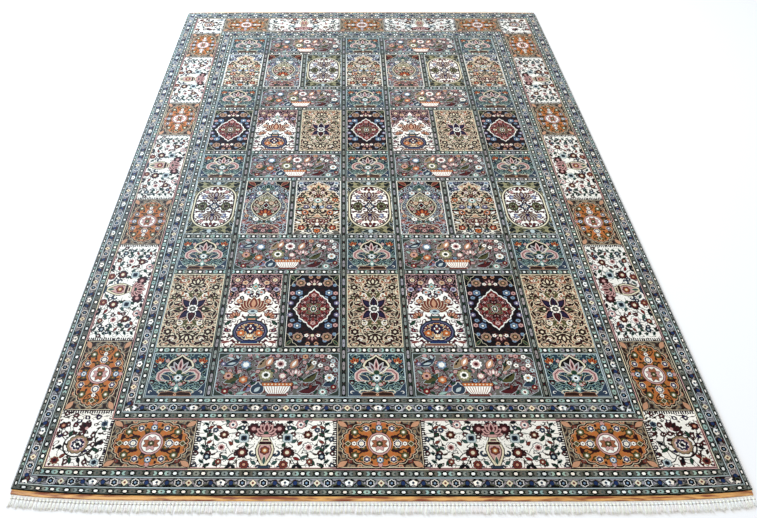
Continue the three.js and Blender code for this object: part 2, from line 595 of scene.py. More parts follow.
def oval_panel() -> Chart:
    """The panel with a long ivory oval on a straw-coloured ground.

    Returns:
        The chart.
    """
    chart = Chart(*TALL, MIST, Mirror.BOTH)
    chart.inset(1.8, IVORY)
    chart.inset(3.4, STRAW)
    chart.fill(STRAW, PINE, SAGE, NAVY, OLIVE, 1.1)
    chart.fill(IVORY, WINE, IVORY, MAROON, OLIVE, 1.1)
    chart.curl(64-128j, 14, NAVY, 5.5, start=-60, turns=0.8)
    chart.leaf(78-108j, 68-92j, 9, NAVY, MIST)
    chart.leaf(54-143j, 34-136j, 8, PINE)
    chart.leaf(0-128j, 30-140j, 11, PINE, MIST)
    chart.disc(0-134j, 8, MIST, INK, along=10)
    chart.lay(stadium(77, 123), INK)
    chart.lay(stadium(75, 121), CREAM)
    chart.lay(stadium(70, 116), INK)
    chart.lay(stadium(66, 112), IVORY)
    chart.flower(38-52j, 11, LAVENDER, IVORY, 7, BLUE, SKY)
    chart.flower(36-82j, 8, PINK, WINE, 6, RUST)
    chart.fan(0-46j, 42, -90, WINE, HAZE, PURPLE, 7, 170, CREAM)
    chart.disc(0-96j, 5, RUST, MAROON, along=7)
    chart.disc(42+0j, 17, OLIVE, MOSS, along=24)
    chart.disc(42+0j, 12, STRAW, along=17)
    chart.flower(42+0j, 9, BROWN, IVORY, 6)
    chart.flower(0j, 19, SLATE, NAVY, 8, NAVY, IVORY)
    chart.disc(0j, 4, CREAM)
    return chart


def stadium(across: float, down: float) -> Outline:
    """The outline of a long oval with round ends and straight sides, given its half sizes.

    Args:
        across: its half width.
        down: its half length.

    Returns:
        The outline.
    """
    steps = 14
    angles = [math.pi * i / steps for i in range(steps + 1)]
    straight = down - across
    top = [complex(across * math.cos(a), -straight - across * math.sin(a)) for a in angles]
    return top + [-p for p in top]


def tree_panel() -> Chart:
    """The panel with a pointed medallion on a stem, on a slate ground.

    Returns:
        The chart.
    """
    chart = Chart(*TALL, IVORY, Mirror.SIDES)
    chart.inset(3, SLATE)
    chart.fill(SLATE, WINE, MIST, PINK, INK, 1.1)
    chart.fill(SAGE, BROWN, CREAM, RUST, PINE, 0.9)
    chart.fill(WINE, INK, PINK, TEAL, PEACH, 0.9)
    chart.lay([26-147.5j, 79.5-147.5j, 79.5-92j, 70-96j, 62-106j, 50-112j, 42-124j, 30-132j],
              UMBER, CREAM)
    chart.leaf(74-142j, 48-118j, 14, RUST, PEACH, bend=0.12)
    chart.leaf(78-118j, 58-110j, 8, RED)
    chart.vine([0+76j, 14+74j, 30+68j, 46+58j, 62+46j, 72+26j, 72-4j, 64-26j, 54-52j], 2.6, CREAM)
    chart.leaf(0-88j, 12-108j, 9, GREEN, STRAW)
    chart.leaf(72-60j, 62-74j, 8, TEAL, PINE)
    chart.fan(0-98j, 30, -90, PINE, TEAL, CREAM, 7, 160, MINT)
    chart.flower(29-76j, 11, IVORY, ORANGE, 6, PINE, MIST)
    chart.flower(53-54j, 11, LAVENDER, IVORY, 6, PURPLE, PURPLE)
    chart.flower(70-34j, 7, PINK, WINE, 5, WINE)
    chart.flower(30+70j, 11, IVORY, RUST, 7, PINE)
    chart.flower(64+52j, 8, PEACH, WINE, 6, BROWN)
    mandorla = both_sides([0-84j, 12-70j, 26-56j, 40-40j, 50-22j, 55-4j, 51+16j, 42+36j, 28+54j,
                           12+68j, 0+77j])
    chart.lay(mandorla, CREAM, NAVY, 1.8)
    chart.lay([p * 0.94-0.2j for p in mandorla], MAROON)
    chart.lay([p * 0.905-0.3j for p in mandorla], SAGE)
    chart.fan(0-34j, 26, -90, OLIVE, STRAW, IVORY, 5, 170, CREAM)
    chart.flower(19-18j, 10, PEACH, WINE, 6, BROWN, CREAM)
    chart.flower(34+14j, 8, PINK, MAROON, 6, BROWN)
    chart.lay([0-20j, 10-5j, 0+9j, -10-5j], NAVY, IVORY)
    chart.disc(0-5j, 3.5, RED)
    chart.fan(0+46j, 34, -90, RED, ORANGE, CREAM, 5, 150, MAROON)
    chart.flower(0+50j, 7, CREAM, NAVY, 6)
    chart.block(-4, 76, 4, 100, BROWN)
    chart.leaf(6+84j, 26+84j, 8, GREEN, MINT)
    for k, length in enumerate((20, 26, 28, 24)):
        base = complex(76 - 11 * k, 84 + 13 * k)
        chart.leaf(base, base + cmath.rect(length, math.radians(212 - 8 * k)), 9, RUST, PINK, 0.12)
    mound = [-56+148j, -52+122j, -34+104j, -14+97j, 0+93j, 14+97j, 34+104j, 52+122j, 56+148j]
    chart.lay(mound, WINE, CREAM, 2)
    chart.leaf(0+112j, 0+98j, 8, MINT, PINE)
    for k, ink in enumerate((PINK, TEAL, PINK)):
        chart.flower(complex(24 * k, 131 + 2 * (k % 2)), 8, ink, INK, 6, NAVY)
    return chart


def arch_panel() -> Chart:
    """The panel with a scalloped prayer arch over a potted bush, on a peach ground.

    Returns:
        The chart.
    """
    chart = Chart(*TALL, IVORY, Mirror.SIDES)
    chart.inset(3, PEACH)
    chart.fill(PEACH, MAROON, CREAM, RUST, PINE, 1.3)
    chart.fill(NAVY, PURPLE, MIST, PINK, SLATE, 0.7)
    chart.fill(CREAM, BROWN, IVORY, RUST, OLIVE, 1.25)
    chart.fill(PINK, BROWN, CREAM, RUST, PURPLE, 0.7)
    chart.lay([24-70j, 60-50j, 79.5-36j, 79.5+90j, 40+120j, 20+40j], PEACH)
    contour = [0-145j, 10-138j, 20-136j, 30-128j, 40-124j, 45-114j, 42-104j, 35-98j, 44-92j,
               56-90j, 66-80j, 70-68j, 75-62j, 79.5-45j]
    chart.lay([*contour, 79.5-147.5j, 0-147.5j], NAVY, IVORY, 2.2)
    chart.curl(64-118j, 13, IVORY, 3.4, start=150, turns=0.9)
    chart.curl(72-86j, 7, IVORY, 2.8, start=200, turns=-0.8)
    chart.vine([34-142j, 48-134j, 56-142j, 76-142j], 2.6, LAVENDER)
    chart.flower(52-104j, 8, LAVENDER, IVORY, 6, PURPLE)
    chart.flower(66-135j, 8, SKY, MAROON, 6, IVORY)
    chart.vine([0+44j, 2+10j, 0-20j, 0-70j, 0-104j], 3.4, UMBER)
    chart.leaf(0-100j, 0-124j, 9, GREEN, STRAW)
    chart.leaf(42-56j, 54-66j, 8, GREEN, STRAW)
    chart.leaf(60-8j, 74-12j, 8, GREEN, PINE)
    chart.leaf(58+12j, 72+18j, 8, MINT, GREEN)
    chart.flower(16-80j, 9, PINK, WINE, 6, WINE, IVORY)
    chart.flower(26-40j, 10, IVORY, PINK, 6, WINE, PINK)
    chart.flower(62-38j, 11, ORANGE, CREAM, 6, RUST, PEACH)
    chart.flower(0-34j, 15, MINT, RUST, 8, TEAL, IVORY)
    chart.flower(0-64j, 8, RUST, CREAM, 6, MAROON)
    chart.flower(41+2j, 10, LAVENDER, IVORY, 6, PURPLE, PURPLE)
    chart.flower(44+34j, 12, ORANGE, MAROON, 7, RUST, CREAM)
    chart.flower(15+4j, 8, SKY, IVORY, 6, BLUE)
    chart.leaf(74+28j, 56+42j, 9, IVORY, GREEN)
    chart.leaf(78+60j, 58+74j, 10, GREEN, IVORY, 0.1)
    chart.leaf(78+84j, 56+92j, 9, IVORY, GREEN)
    bowl = both_sides([0+66j, 20+64j, 40+58j, 50+50j, 52+66j, 44+84j, 28+98j, 10+104j, 0+105j])
    chart.lay(bowl, CREAM, UMBER, 2.6)
    chart.lay([p * 0.86+12j for p in bowl], PINK, BROWN)
    chart.fan(0+96j, 34, -90, RUST, CREAM, IVORY, 5, 150, MAROON)
    mound = [-80+148j, -74+134j, -50+128j, -26+120j, 0+117j, 26+120j, 50+128j, 74+134j, 80+148j]
    chart.lay(mound, CREAM, BROWN, 1.6)
    chart.flower(54+116j, 13, RED, CREAM, 7, MAROON, ORANGE)
    chart.leaf(36+128j, 30+110j, 8, GREEN)
    chart.flower(28+134j, 8, SLATE, IVORY, 6, NAVY)
    chart.flower(0+132j, 11, ORANGE, CREAM, 6, MAROON)
    chart.disc(66+140j, 8, SAGE, MOSS, along=5)
    return chart


def palmette_panel() -> Chart:
    """The small panel with one lotus between two scroll arms, on a sea-green ground.

    Returns:
        The chart.
    """
    chart = Chart(*SMALL, INK, Mirror.SIDES)
    chart.inset(0.9, MIST)
    chart.inset(4.0, SEA)
    chart.fill(SEA, INK, MINT, WINE, PINK, 0.85)
    chart.lay([80+73j, 80+26j, 70+40j, 62+54j, 46+62j, 44+73j], SLATE, MIST)
    chart.curl(70+62j, 6, IVORY, 2.2, start=200, turns=0.8)
    chart.vine([6+44j, 22+56j, 42+54j, 50+62j, 40+66j], 2.6, CREAM)
    chart.curl(37+12j, 35, PINK, 12, start=160, turns=0.92, rim=IVORY)
    chart.curl(37+12j, 35, WINE, 2.4, start=160, turns=0.92)
    chart.fan(60-40j, 20, -75, ORANGE, RED, CREAM, 3, 90, MAROON)
    chart.leaf(20+22j, 50+2j, 15, SLATE, CREAM)
    chart.leaf(30+34j, 52+26j, 8, NAVY, MINT)
    backing = both_sides([0-70j, 10-60j, 20-54j, 30-48j, 36-38j, 39-28j, 32-20j, 24-10j, 12-2j, 0+2j])
    chart.lay(backing, CREAM, BROWN, 1.2)
    chart.lay([p * 0.86-4j for p in backing], UMBER)
    root = -4j
    for turn in (52, -52, 28, -28, 0):
        tip = root + cmath.rect(50 - 0.24 * abs(turn), math.radians(turn - 90))
        chart.leaf(root, tip, 13, HAZE if turn else PINK, IVORY, rim_width=0.9)
        chart.leaf(root * 0.7 + tip * 0.3, root * 0.2 + tip * 0.8, 6, WINE)
    chart.disc(0-6j, 8, GREEN, STRAW)
    chart.leaf(0+6j, 22+2j, 8, GREEN, STRAW)
    chart.leaf(0+18j, 18+30j, 8, GREEN, STRAW)
    chart.flower(0+13j, 13, MIST, NAVY, 8, SLATE, IVORY)
    chart.flower(19+30j, 6, RED, CREAM, 5)
    chart.leaf(0+60j, 0+32j, 14, MINT, TEAL)
    chart.disc(0+49j, 3.4, IVORY, along=5)
    chart.lay([-45+73j, -40+62j, -14+60j, 0+64j, 14+60j, 40+62j, 45+73j], BROWN, PEACH)
    chart.flower(0+69j, 4.6, PEACH, BROWN, 5)
    return chart


def basket_panel() -> Chart:
    """The wide small panel with a basket of flowers on a sage ground, not the same on its two sides.

    Returns:
        The chart.
    """
    chart = Chart(*DOUBLE, INK)
    chart.inset(0.9, MIST)
    chart.inset(4.0, SAGE)
    chart.fill(SAGE, WINE, HAZE, RUST, PINK, 0.8)
    for base, tip, ink in ((-160-30j, -108-62j, SLATE), (-150+30j, -104-6j, OLIVE),
                           (-60-20j, -38-58j, TAN), (-100+62j, -60+12j, LAVENDER),
                           (70+26j, 112-8j, OLIVE), (60+60j, 118+34j, WINE),
                           (80-10j, 96-56j, TAN), (128+40j, 166+10j, SLATE)):
        chart.leaf(base, tip, 22, ink, MIST, bend=0.12)
        for share in (0.3, 0.55):
            chart.leaf(base + share * (tip - base), base + (share + 0.3) * (tip - base), 6, UMBER)
    for side in (-1, 1):
        corner = [166+73j, 173+73j, 173+44j, 166+58j, 152+66j, 140+73j]
        chart.lay([complex(side * p.real, p.imag) for p in corner], FERN, MIST)
        chart.lay([complex(side * p.real, -p.imag) for p in corner], FERN, MIST)
    stems = (
        [0+30j, -12+8j, -33+3j], [2+30j, 6-4j, 6-30j], [6+30j, 30+8j, 50-14j],
        [-8+30j, -46+4j, -26-36j], [30+30j, 66+8j, 84-20j, 102-40j],
        [84-20j, 100-50j, 124-64j, 150-58j], [88-14j, 118-6j, 140-20j, 163-14j],
        [40+38j, 84+40j, 110+20j, 146+12j], [84+40j, 108+54j, 128+62j],
        [-34+32j, -70+22j, -96+19j, -139+6j], [-70+22j, -86-6j, -93-33j, -128-52j],
        [-44+44j, -84+46j, -118+40j, -143+60j], [-93-33j, -60-56j, -34-62j],
        [50-14j, 66-44j, 70-62j], [124-64j, 108-26j, 120-31j],
    )
    for stem in stems:
        chart.vine(stem, 2.6, BROWN, ends=0.6)
    leaves = (
        (-60+26j, -74+38j, GREEN), (-76+8j, -62-4j, MINT), (-90-12j, -74-22j, GREEN),
        (-60-56j, -66-68j, MINT), (-40-62j, -26-70j, GREEN), (-110+16j, -122-2j, TEAL),
        (-116+24j, -130+34j, GREEN), (-84+46j, -92+58j, RUST), (-150+0j, -164-14j, MINT),
        (60+12j, 74+22j, GREEN), (72-2j, 62-12j, MINT), (92-30j, 80-40j, GREEN),
        (68-50j, 82-60j, MINT), (96+36j, 92+50j, RUST), (108+24j, 126+36j, WINE),
        (132+16j, 130+0j, GREEN), (112+56j, 104+68j, GREEN), (146+26j, 162+30j, TEAL),
        (16-8j, 28-4j, GREEN), (-8-8j, -20-16j, TEAL), (4-20j, -8-28j, GREEN),
        (-122-40j, -146-34j, MIST), (-128-52j, -150-60j, MIST), (-116-54j, -124-68j, MIST),
        (-150+52j, -164+40j, GREEN), (-132+60j, -120+68j, GREEN), (44+26j, 58+34j, MINT),
    )
    chart.leaves(leaves, 8, UMBER)
    blossoms = (102-40j, 124-64j, 146-62j, 156-46j, 120-31j, 139-21j, 154-31j, 163-14j)
    for k, at in enumerate(blossoms):
        ink = (IVORY, PINK, IVORY, MIST)[k % 4]
        chart.flower(at, 8, ink, RUST, 5, BROWN, turn=20 * k)
    chart.flower(-139+6j, 14, PEACH, WINE, 7, BROWN, PINK)
    chart.flower(-96+19j, 13, ORANGE, CREAM, 6, MAROON, PEACH)
    chart.flower(-93-33j, 15, SKY, IVORY, 7, NAVY, IVORY)
    chart.flower(-143+58j, 10, RED, CREAM, 6, MAROON)
    chart.flower(-158-36j, 7, LAVENDER, IVORY, 5, PURPLE)
    chart.flower(146+12j, 14, IVORY, GOLD, 8, TEAL, MIST)
    chart.flower(128+60j, 12, MINT, RUST, 8, TEAL, IVORY)
    chart.flower(158+44j, 8, RED, CREAM, 6, MAROON)
    chart.flower(76-62j, 9, PEACH, WINE, 6, WINE)
    chart.leaf(-112+68j, -84+60j, 9, MINT, TEAL)
    jug = [-64+66j, -72+54j, -68+40j, -58+34j, -57+28j, -49+28j, -48+34j, -38+42j, -36+54j, -44+66j]
    chart.lay(smooth(jug, 2), SLATE, IVORY)
    chart.leaf(-62+60j, -46+44j, 12, MIST, NAVY)
    chart.leaf(-72+44j, -82+36j, 5, ORANGE)
    for base, tip in ((-34-28j, -18-60j), (36-20j, 54-54j)):
        chart.leaf(base, tip, 20, PEACH, RUST)
        chart.leaf(base + (tip - base) * 0.2, base + (tip - base) * 0.8, 8, IVORY)
    chart.flower(-33+3j, 21, STRAW, MOSS, 9, OLIVE, IVORY)
    chart.fan(50+4j, 24, -85, PINK, IVORY, GREEN, 5, 130, WINE)
    chart.flower(14+6j, 11, PINK, CREAM, 7, WINE, IVORY)
    chart.flower(6-36j, 18, IVORY, WINE, 9, SLATE, PINK)
    chart.flower(-4+22j, 7, SKY, NAVY, 6, NAVY)
    chart.lay([-36+40j, 38+40j, 33+56j, 22+68j, -20+68j, -31+56j], IVORY, BROWN)
    for k in range(9):
        top = complex(-30 + 7.8 * k, 42)
        chart.vine([top, complex(top.real * 0.8, 55), complex(top.real * 0.58, 67)], 1.8, CAMEL, ends=0.9)
    chart.lay([-42+30j, 44+30j, 42+40j, -40+40j], ORANGE, BROWN)
    for k in range(8):
        chart.disc(complex(-34 + 10.2 * k, 35), 2.6, CREAM)
    chart.lay([-24+68j, 26+68j, 30+73j, -28+73j], RUST, BROWN)
    return chart


# Panels of the border
END_PANEL_HEIGHT = 143.0
TICK_PITCH = 6.6
TICK_WIDTH = 3.5
TICK_LENGTH = 8.5
FIRST_TICK = 4.2


def lay_ticks(chart: Chart, left: float, right: float) -> None:
    """Lay the comb of dark ticks down a border panel, between two edges.

    Args:
        chart: the panel's chart.
        left: the ticks' left edge.
        right: their right edge.
    """
    for k in range(int(chart.height / TICK_PITCH)):
        top = FIRST_TICK - chart.height / 2 + TICK_PITCH * k
        chart.block(left, top, right, top + TICK_WIDTH, UMBER)


def white_border() -> Chart:
    """The long border panel: a jar between vines of flowers on ivory, with combed ends.

    Returns:
        The chart.
    """
    chart = Chart(368.0, END_PANEL_HEIGHT, IVORY, Mirror.SIDES)
    chart.fill(IVORY, BROWN, IVORY, WINE, SLATE, 0.4)
    side, edge = chart.width / 2, chart.height / 2
    for outer, inner, ink in ((0, 1.2, UMBER), (1.2, 3.2, PINK)):
        chart.block(-side, outer - edge, side, inner - edge, ink)
        chart.block(-side, edge - inner, side, edge - outer, ink)
    lay_ticks(chart, side - TICK_LENGTH, side)
    chart.vine([150+68j, 156+44j, 150+20j, 157-6j, 151-30j, 156-56j, 150-66j], 3.6, MAROON)
    for k in range(6):
        at = complex(153, 56 - 22 * k)
        chart.leaf(at, at + complex(14, -9), 8, PINE, MINT, rim_width=0.8)
        chart.leaf(at + 10j, at + complex(-14, 1), 8, RUST if k % 2 else GREEN, UMBER, rim_width=0.8)
    chart.vine([20+44j, 44+46j, 60+26j, 84+30j, 100+46j, 124+44j, 147+38j], 2.6, UMBER)
    chart.vine([30+4j, 46+2j, 57-16j, 74-34j, 90-57j, 112-58j, 132-44j], 2.6, UMBER)
    chart.vine([84+30j, 100+8j, 113+11j, 132+4j, 138-14j], 2.4, UMBER)
    chart.vine([74-34j, 92-30j, 110-24j, 128-22j], 2.2, GREEN)
    chart.vine([60+26j, 72+48j, 82+62j, 104+62j, 124+60j], 2.4, GREEN)
    chart.vine([0-22j, 14-34j, 33-44j], 2.4, GREEN)
    leaves = (
        (68-2j, 82-12j, TEAL), (78-40j, 66-52j, GREEN), (98-60j, 110-70j, TEAL),
        (92+46j, 110+34j, TEAL), (74+40j, 92+48j, RED), (82+62j, 72+70j, NAVY),
        (82+60j, 98+70j, NAVY), (126-8j, 136-26j, GREEN), (118-44j, 134-54j, RUST),
        (44+10j, 52-2j, GREEN), (48-30j, 58-40j, GREEN), (130+18j, 142+8j, TEAL),
        (118+46j, 130+62j, GREEN), (20+60j, 34+50j, TEAL), (84+4j, 96-6j, RUST),
        (52-62j, 70-66j, NAVY), (14-38j, 16-52j, GREEN),
    )
    chart.leaves(leaves, 9, PINE)
    chart.curl(146+66j, 8, INK, 3.6, start=200, turns=0.8)
    chart.curl(140-62j, 8, INK, 3.4, start=160, turns=-0.8)
    chart.flower(147+38j, 11, NAVY, MIST, 6, IVORY, SLATE)
    chart.flower(116+52j, 8, RUST, CREAM, 6, BROWN)
    chart.flower(50+60j, 12, RUST, PEACH, 7, BROWN, WINE)
    chart.flower(58+26j, 16, MAROON, CREAM, 8, UMBER, RUST)
    chart.flower(113+11j, 15, IVORY, WINE, 9, SLATE, PINK)
    chart.flower(110-26j, 12, BROWN, CREAM, 7, RUST, RUST)
    chart.flower(90-56j, 12, PINK, SLATE, 7, SLATE, IVORY)
    chart.flower(57-16j, 15, MIST, INK, 4, TEAL, SLATE)
    chart.flower(34-44j, 17, MAROON, PINK, 8, UMBER, WINE)
    chart.flower(134-40j, 7, SLATE, IVORY, 5, PURPLE)
    chart.fan(0-30j, 34, -90, PINK, WINE, GREEN, 7, 190, MAROON)
    chart.curl(31+26j, 14, SLATE, 5, start=-120, turns=-0.9, rim=INK)
    jar = both_sides([9-22j, 10-14j, 14-6j, 20+6j, 23+18j, 20+34j, 13+50j, 7+62j, 6+66j])
    chart.lay(jar, CREAM, UMBER, 2.4)
    chart.lay([p * 0.8+4j for p in jar], MAROON)
    chart.lay([p * 0.7+6j for p in jar], PINK)
    chart.lay([-15-6j, 15-6j, 18+3j, -18+3j], MAROON, CREAM)
    chart.disc(0-23j, 14, PINK, MAROON, along=4)
    chart.flower(0+20j, 12, RUST, CREAM, 6, MAROON, GOLD)
    chart.leaf(0+60j, 0+36j, 9, TEAL, CREAM)
    chart.lay([-7+64j, 7+64j, 17+70j, -17+70j], SLATE, UMBER)
    return chart


def orange_border() -> Chart:
    """The shorter border panel: a scalloped orange oval on a tan ground.

    Returns:
        The chart.
    """
    chart = Chart(226.0, END_PANEL_HEIGHT, MAROON, Mirror.BOTH)
    chart.inset(3.0, CREAM)
    chart.inset(4.4, TAN)
    chart.fill(TAN, BROWN, SAGE, RUST, PEACH, 1.1)
    chart.fill(ORANGE, MAROON, GOLD, WINE, OLIVE, 1.3)
    chart.leaf(109-66j, 84-50j, 15, PEACH, INK)
    chart.lay(lobed(0j, 103, 69, 24, 0.06), UMBER, CREAM, 1.2)
    chart.lay(lobed(0j, 96, 62.5, 24, 0.06), ORANGE, PEACH, 2.4)
    chart.flower(64-34j, 10, OLIVE, IVORY, 6, MOSS, STRAW)
    chart.flower(34-45j, 9, PURPLE, IVORY, 6, CREAM, LAVENDER)
    chart.leaf(0-52j, 0-68j, 12, PINK, WINE)
    chart.flower(0-47j, 9, SKY, NAVY, 6, NAVY, IVORY)
    chart.flower(47+0j, 11, PURPLE, CREAM, 8, IVORY, IVORY)
    chart.flower(66+0j, 6.5, IVORY, WINE, 6, WINE)
    chart.lay([75+0j, 82-7j, 89+0j, 82+7j], OLIVE, CREAM)
    chart.disc(0j, 31, PINK, INK, along=33)
    chart.disc(0j, 27, WINE, along=29)
    chart.disc(0j, 25, IVORY, along=27)
    for k in range(8):
        way = cmath.rect(1, math.radians(45 * k + 22.5))
        chart.leaf(4 * way, 22 * way, 11, CAMEL if k % 2 else PINK, MAROON, rim_width=1.0)
    chart.flower(0j, 8, OLIVE, CREAM, 6, MAROON)
    return chart


def corner_tile() -> Chart:
    """The border's corner: one curved branch of flowers on ivory, drawn for the near right corner.

    Returns:
        The chart.
    """
    chart = Chart(138.0, 143.0, IVORY)
    chart.fill(IVORY, BROWN, IVORY, WINE, PURPLE, 0.6)
    chart.block(-69, 70.3, 69, 71.5, UMBER)
    chart.block(67.8, -71.5, 69, 71.5, UMBER)
    chart.block(-69, 68, 67.8, 70.3, PINK)
    chart.block(65.5, -71.5, 67.8, 70.3, PINK)
    branch = [-58-60j, -36-30j, -44+4j, -22+34j, 10+40j, 34+22j, 36-8j, 16-26j, -6-18j]
    chart.vine(branch, 4.4, UMBER, ends=0.5)
    chart.vine([-22+34j, -34+52j, -54+56j], 3, UMBER)
    chart.vine([36-8j, 52-26j, 54-50j], 3, UMBER)
    chart.fan(-10-44j, 24, -50, MAROON, UMBER, PINK, 5, 120, WINE)
    leaves = (
        (-46+6j, -62-8j, NAVY), (-38+14j, -58+26j, GREEN), (-8+42j, -16+60j, NAVY),
        (12+42j, 8+62j, GREEN), (26+32j, 40+46j, RUST), (40+10j, 58+16j, NAVY),
        (30-20j, 24-38j, GREEN), (48-24j, 60-16j, PURPLE), (-50-48j, -62-38j, GREEN),
        (-34-8j, -18-14j, MAROON), (-28+24j, -12+22j, PURPLE), (54-48j, 42-60j, RUST),
    )
    chart.leaves(leaves, 9, UMBER)
    chart.lay(lobed(2+4j, 27, 27, 12, 0.12), TAN, UMBER, 2.0)
    chart.lay(lobed(2+4j, 21, 21, 10, 0.12), PINK)
    chart.flower(2+4j, 17, PURPLE, NAVY, 8, IVORY, IVORY)
    chart.flower(-54+56j, 12, MIST, INK, 6, NAVY, SLATE)
    chart.flower(54-52j, 11, MAROON, PEACH, 7, UMBER, RUST)
    chart.flower(48+52j, 12, RUST, UMBER, 7, CREAM, WINE)
    chart.flower(-54-58j, 9, SLATE, NAVY, 6, MIST)
    return chart


def comb(width: float) -> Chart:
    """An ivory stretch beside a corner tile, with ticks down its left edge.

    Args:
        width: how wide it is.

    Returns:
        The chart.
    """
    chart = Chart(width, END_PANEL_HEIGHT, IVORY)
    chart.fill(IVORY, BROWN, IVORY, WINE, PURPLE, 0.6)
    lay_ticks(chart, -width / 2, -width / 2 + min(TICK_LENGTH, width))
    return chart


# Stripes
class Stripe(Enum):
    """The kinds of stripe that frame the rug and part its panels."""

    EDGE = "edge"
    DOTS = "dots"
    LINE = "line"
    PINK_LINE = "pink line"
    FLOWERS = "flowers"
    DIVIDER = "divider"
    POST = "post"


HAIRLINE = 0.9


def edge_unit() -> Chart:
    """The plain dark rim of the pile."""
    return Chart(60.0, 1.5, PINE)


def line_unit(middle: Ink) -> Chart:
    """A thin line between two dark hairlines.

    Args:
        middle: the colour between the hairlines.

    Returns:
        The chart.
    """
    chart = Chart(60.0, 4.4, INK)
    chart.block(-30, -1.2, 30, 1.2, middle)
    return chart


def dot_unit(height: float, ground: Ink, bars: Ink, dot: Ink, patch: Ink) -> Chart:
    """One dot between dark brackets, and the pale stretch up to the next.

    Args:
        height: the stripe's width.
        ground: the stripe's own colour.
        bars: the colour of the pale stretch between two dots.
        dot: the colour of the dot.
        patch: the colour of the spot on it.

    Returns:
        The chart.
    """
    chart = Chart(36.0, height, ground, Mirror.BOTH)
    chart.fill(ground, INK, ground, INK, WINE, 0.5)
    half = height / 2
    chart.block(-18, -half, 18, HAIRLINE - half, INK)
    chart.block(-18, 1.6 - half, 18, 2.5 - half, STEEL)
    chart.lay([8+0j, complex(13, -0.6 * half), complex(23, -0.6 * half), 28+0j, complex(23, 0.6 * half),
               complex(13, 0.6 * half)], bars)
    chart.lay([15+0j, complex(18, -0.34 * half), 21+0j, complex(18, 0.34 * half)], patch)
    chart.lay([-10+0j, complex(-3, -0.84 * half), complex(3, -0.84 * half), 10+0j], INK)
    chart.lay([complex(x * 5.2, y * 0.42 * half)
               for x, y in ((-1, 0), (-0.6, -1), (0.6, -1), (1, 0), (0.6, 1), (-0.6, 1))], dot)
    return chart


def post_unit(bar: Ink, spot: Ink) -> Chart:
    """One long bar of the stripe between two columns of panels, and the spot between two bars.

    Args:
        bar: the bar's colour.
        spot: the colour of the spots.

    Returns:
        The chart.
    """
    chart = Chart(42.0, 21.5, FERN, Mirror.BOTH)
    chart.fill(FERN, INK, FERN, INK, MOSS, 0.6)
    chart.block(-21, -10.75, 21, HAIRLINE - 10.75, INK)
    chart.block(-21, -8.4, 21, -7.2, STEEL)
    chart.lay([-16+0j, -12-3.6j, 12-3.6j, 16+0j, 12+3.6j, -12+3.6j], bar, INK, 1.4)
    chart.lay([18.4+0j, 21-3.4j, 23.6+0j, 21+3.4j], spot)
    chart.disc(0j, 2.6, spot, along=2)
    return chart


def flower_unit() -> Chart:
    """One repeat of the flowering stripe: open flowers and lotuses on a waving stem.

    Returns:
        The chart.
    """
    chart = Chart(158.0, 22.0, HAZE, Mirror.SIDES)
    chart.fill(HAZE, INK, FOG, WINE, TEAL, 0.9)
    chart.block(-79, -11, 79, -11 + HAIRLINE, INK)
    chart.block(-79, 11 - HAIRLINE, 79, 11, INK)
    chart.vine([0j, 12-6j, 26+0j, 40+6j, 54+0j, 66-5j, 79+0j], 1.7, OLIVE, ends=1.0)
    chart.lay([79-8j, 90-3j, 86+7j, 79+3j, 72+7j, 68-3j], IVORY, UMBER, 0.9)
    chart.disc(79-1j, 3.4, SLATE)
    chart.flower(26+0j, 8.6, NAVY, SKY, 6, IVORY)
    chart.disc(54+0j, 5, BLUE, INK)
    chart.curl(42-2j, 6, NAVY, 2.4, start=100, turns=0.8)
    chart.leaf(60+4j, 66+9j, 4, TEAL)
    chart.leaf(12-5j, 18-9j, 3.6, TEAL)
    chart.leaf(14+4j, 8+9j, 3.6, MAROON)
    chart.leaf(60-5j, 52-9j, 3.6, MAROON)
    chart.lay([-9+0j, -4-5j, 0-9j, 4-5j, 9+0j, 4+5j, 0+9j, -4+5j], CREAM, UMBER, 0.9)
    chart.disc(0j, 3.2, RUST)
    return chart


def stripe_patches() -> dict[Stripe, list[Patch]]:
    """Cut the units of every stripe.

    Returns:
        For each kind of stripe, its units in the order in which they take turns.
    """
    charts = {
        Stripe.EDGE: [edge_unit()],
        Stripe.LINE: [line_unit(MIST)],
        Stripe.PINK_LINE: [line_unit(PINK), line_unit(CREAM)],
        Stripe.FLOWERS: [flower_unit()],
        Stripe.DOTS: [
            dot_unit(17.0, FERN, STEEL, IVORY, PINE),
            dot_unit(17.0, MOSS, SAGE, IVORY, TEAL),
            dot_unit(17.0, FERN, MINT, IVORY, WINE),
        ],
        Stripe.POST: [post_unit(STEEL, WINE), post_unit(HAZE, GREEN)],
        Stripe.DIVIDER: [
            dot_unit(21.5, FERN, MINT, IVORY, RUST),
            dot_unit(21.5, MOSS, STEEL, IVORY, WINE),
            dot_unit(21.5, FERN, HAZE, IVORY, TEAL),
        ],
    }
    return {kind: [chart.cut() for chart in units] for kind, units in charts.items()}


# Where everything lies on the rug, in millimetres from its middle
HALF_CLOTH = 913.7
HALF_PILE = 1354.5
SIDE_SWELL = 4.0
DRAW_REACH = 130.0
DRAW_FADE = 90.0
DRAWN_IN = {-1: 18.0, 1: 8.0}
PILE_HEIGHT = 6.0
RIM_DROP = 1.2

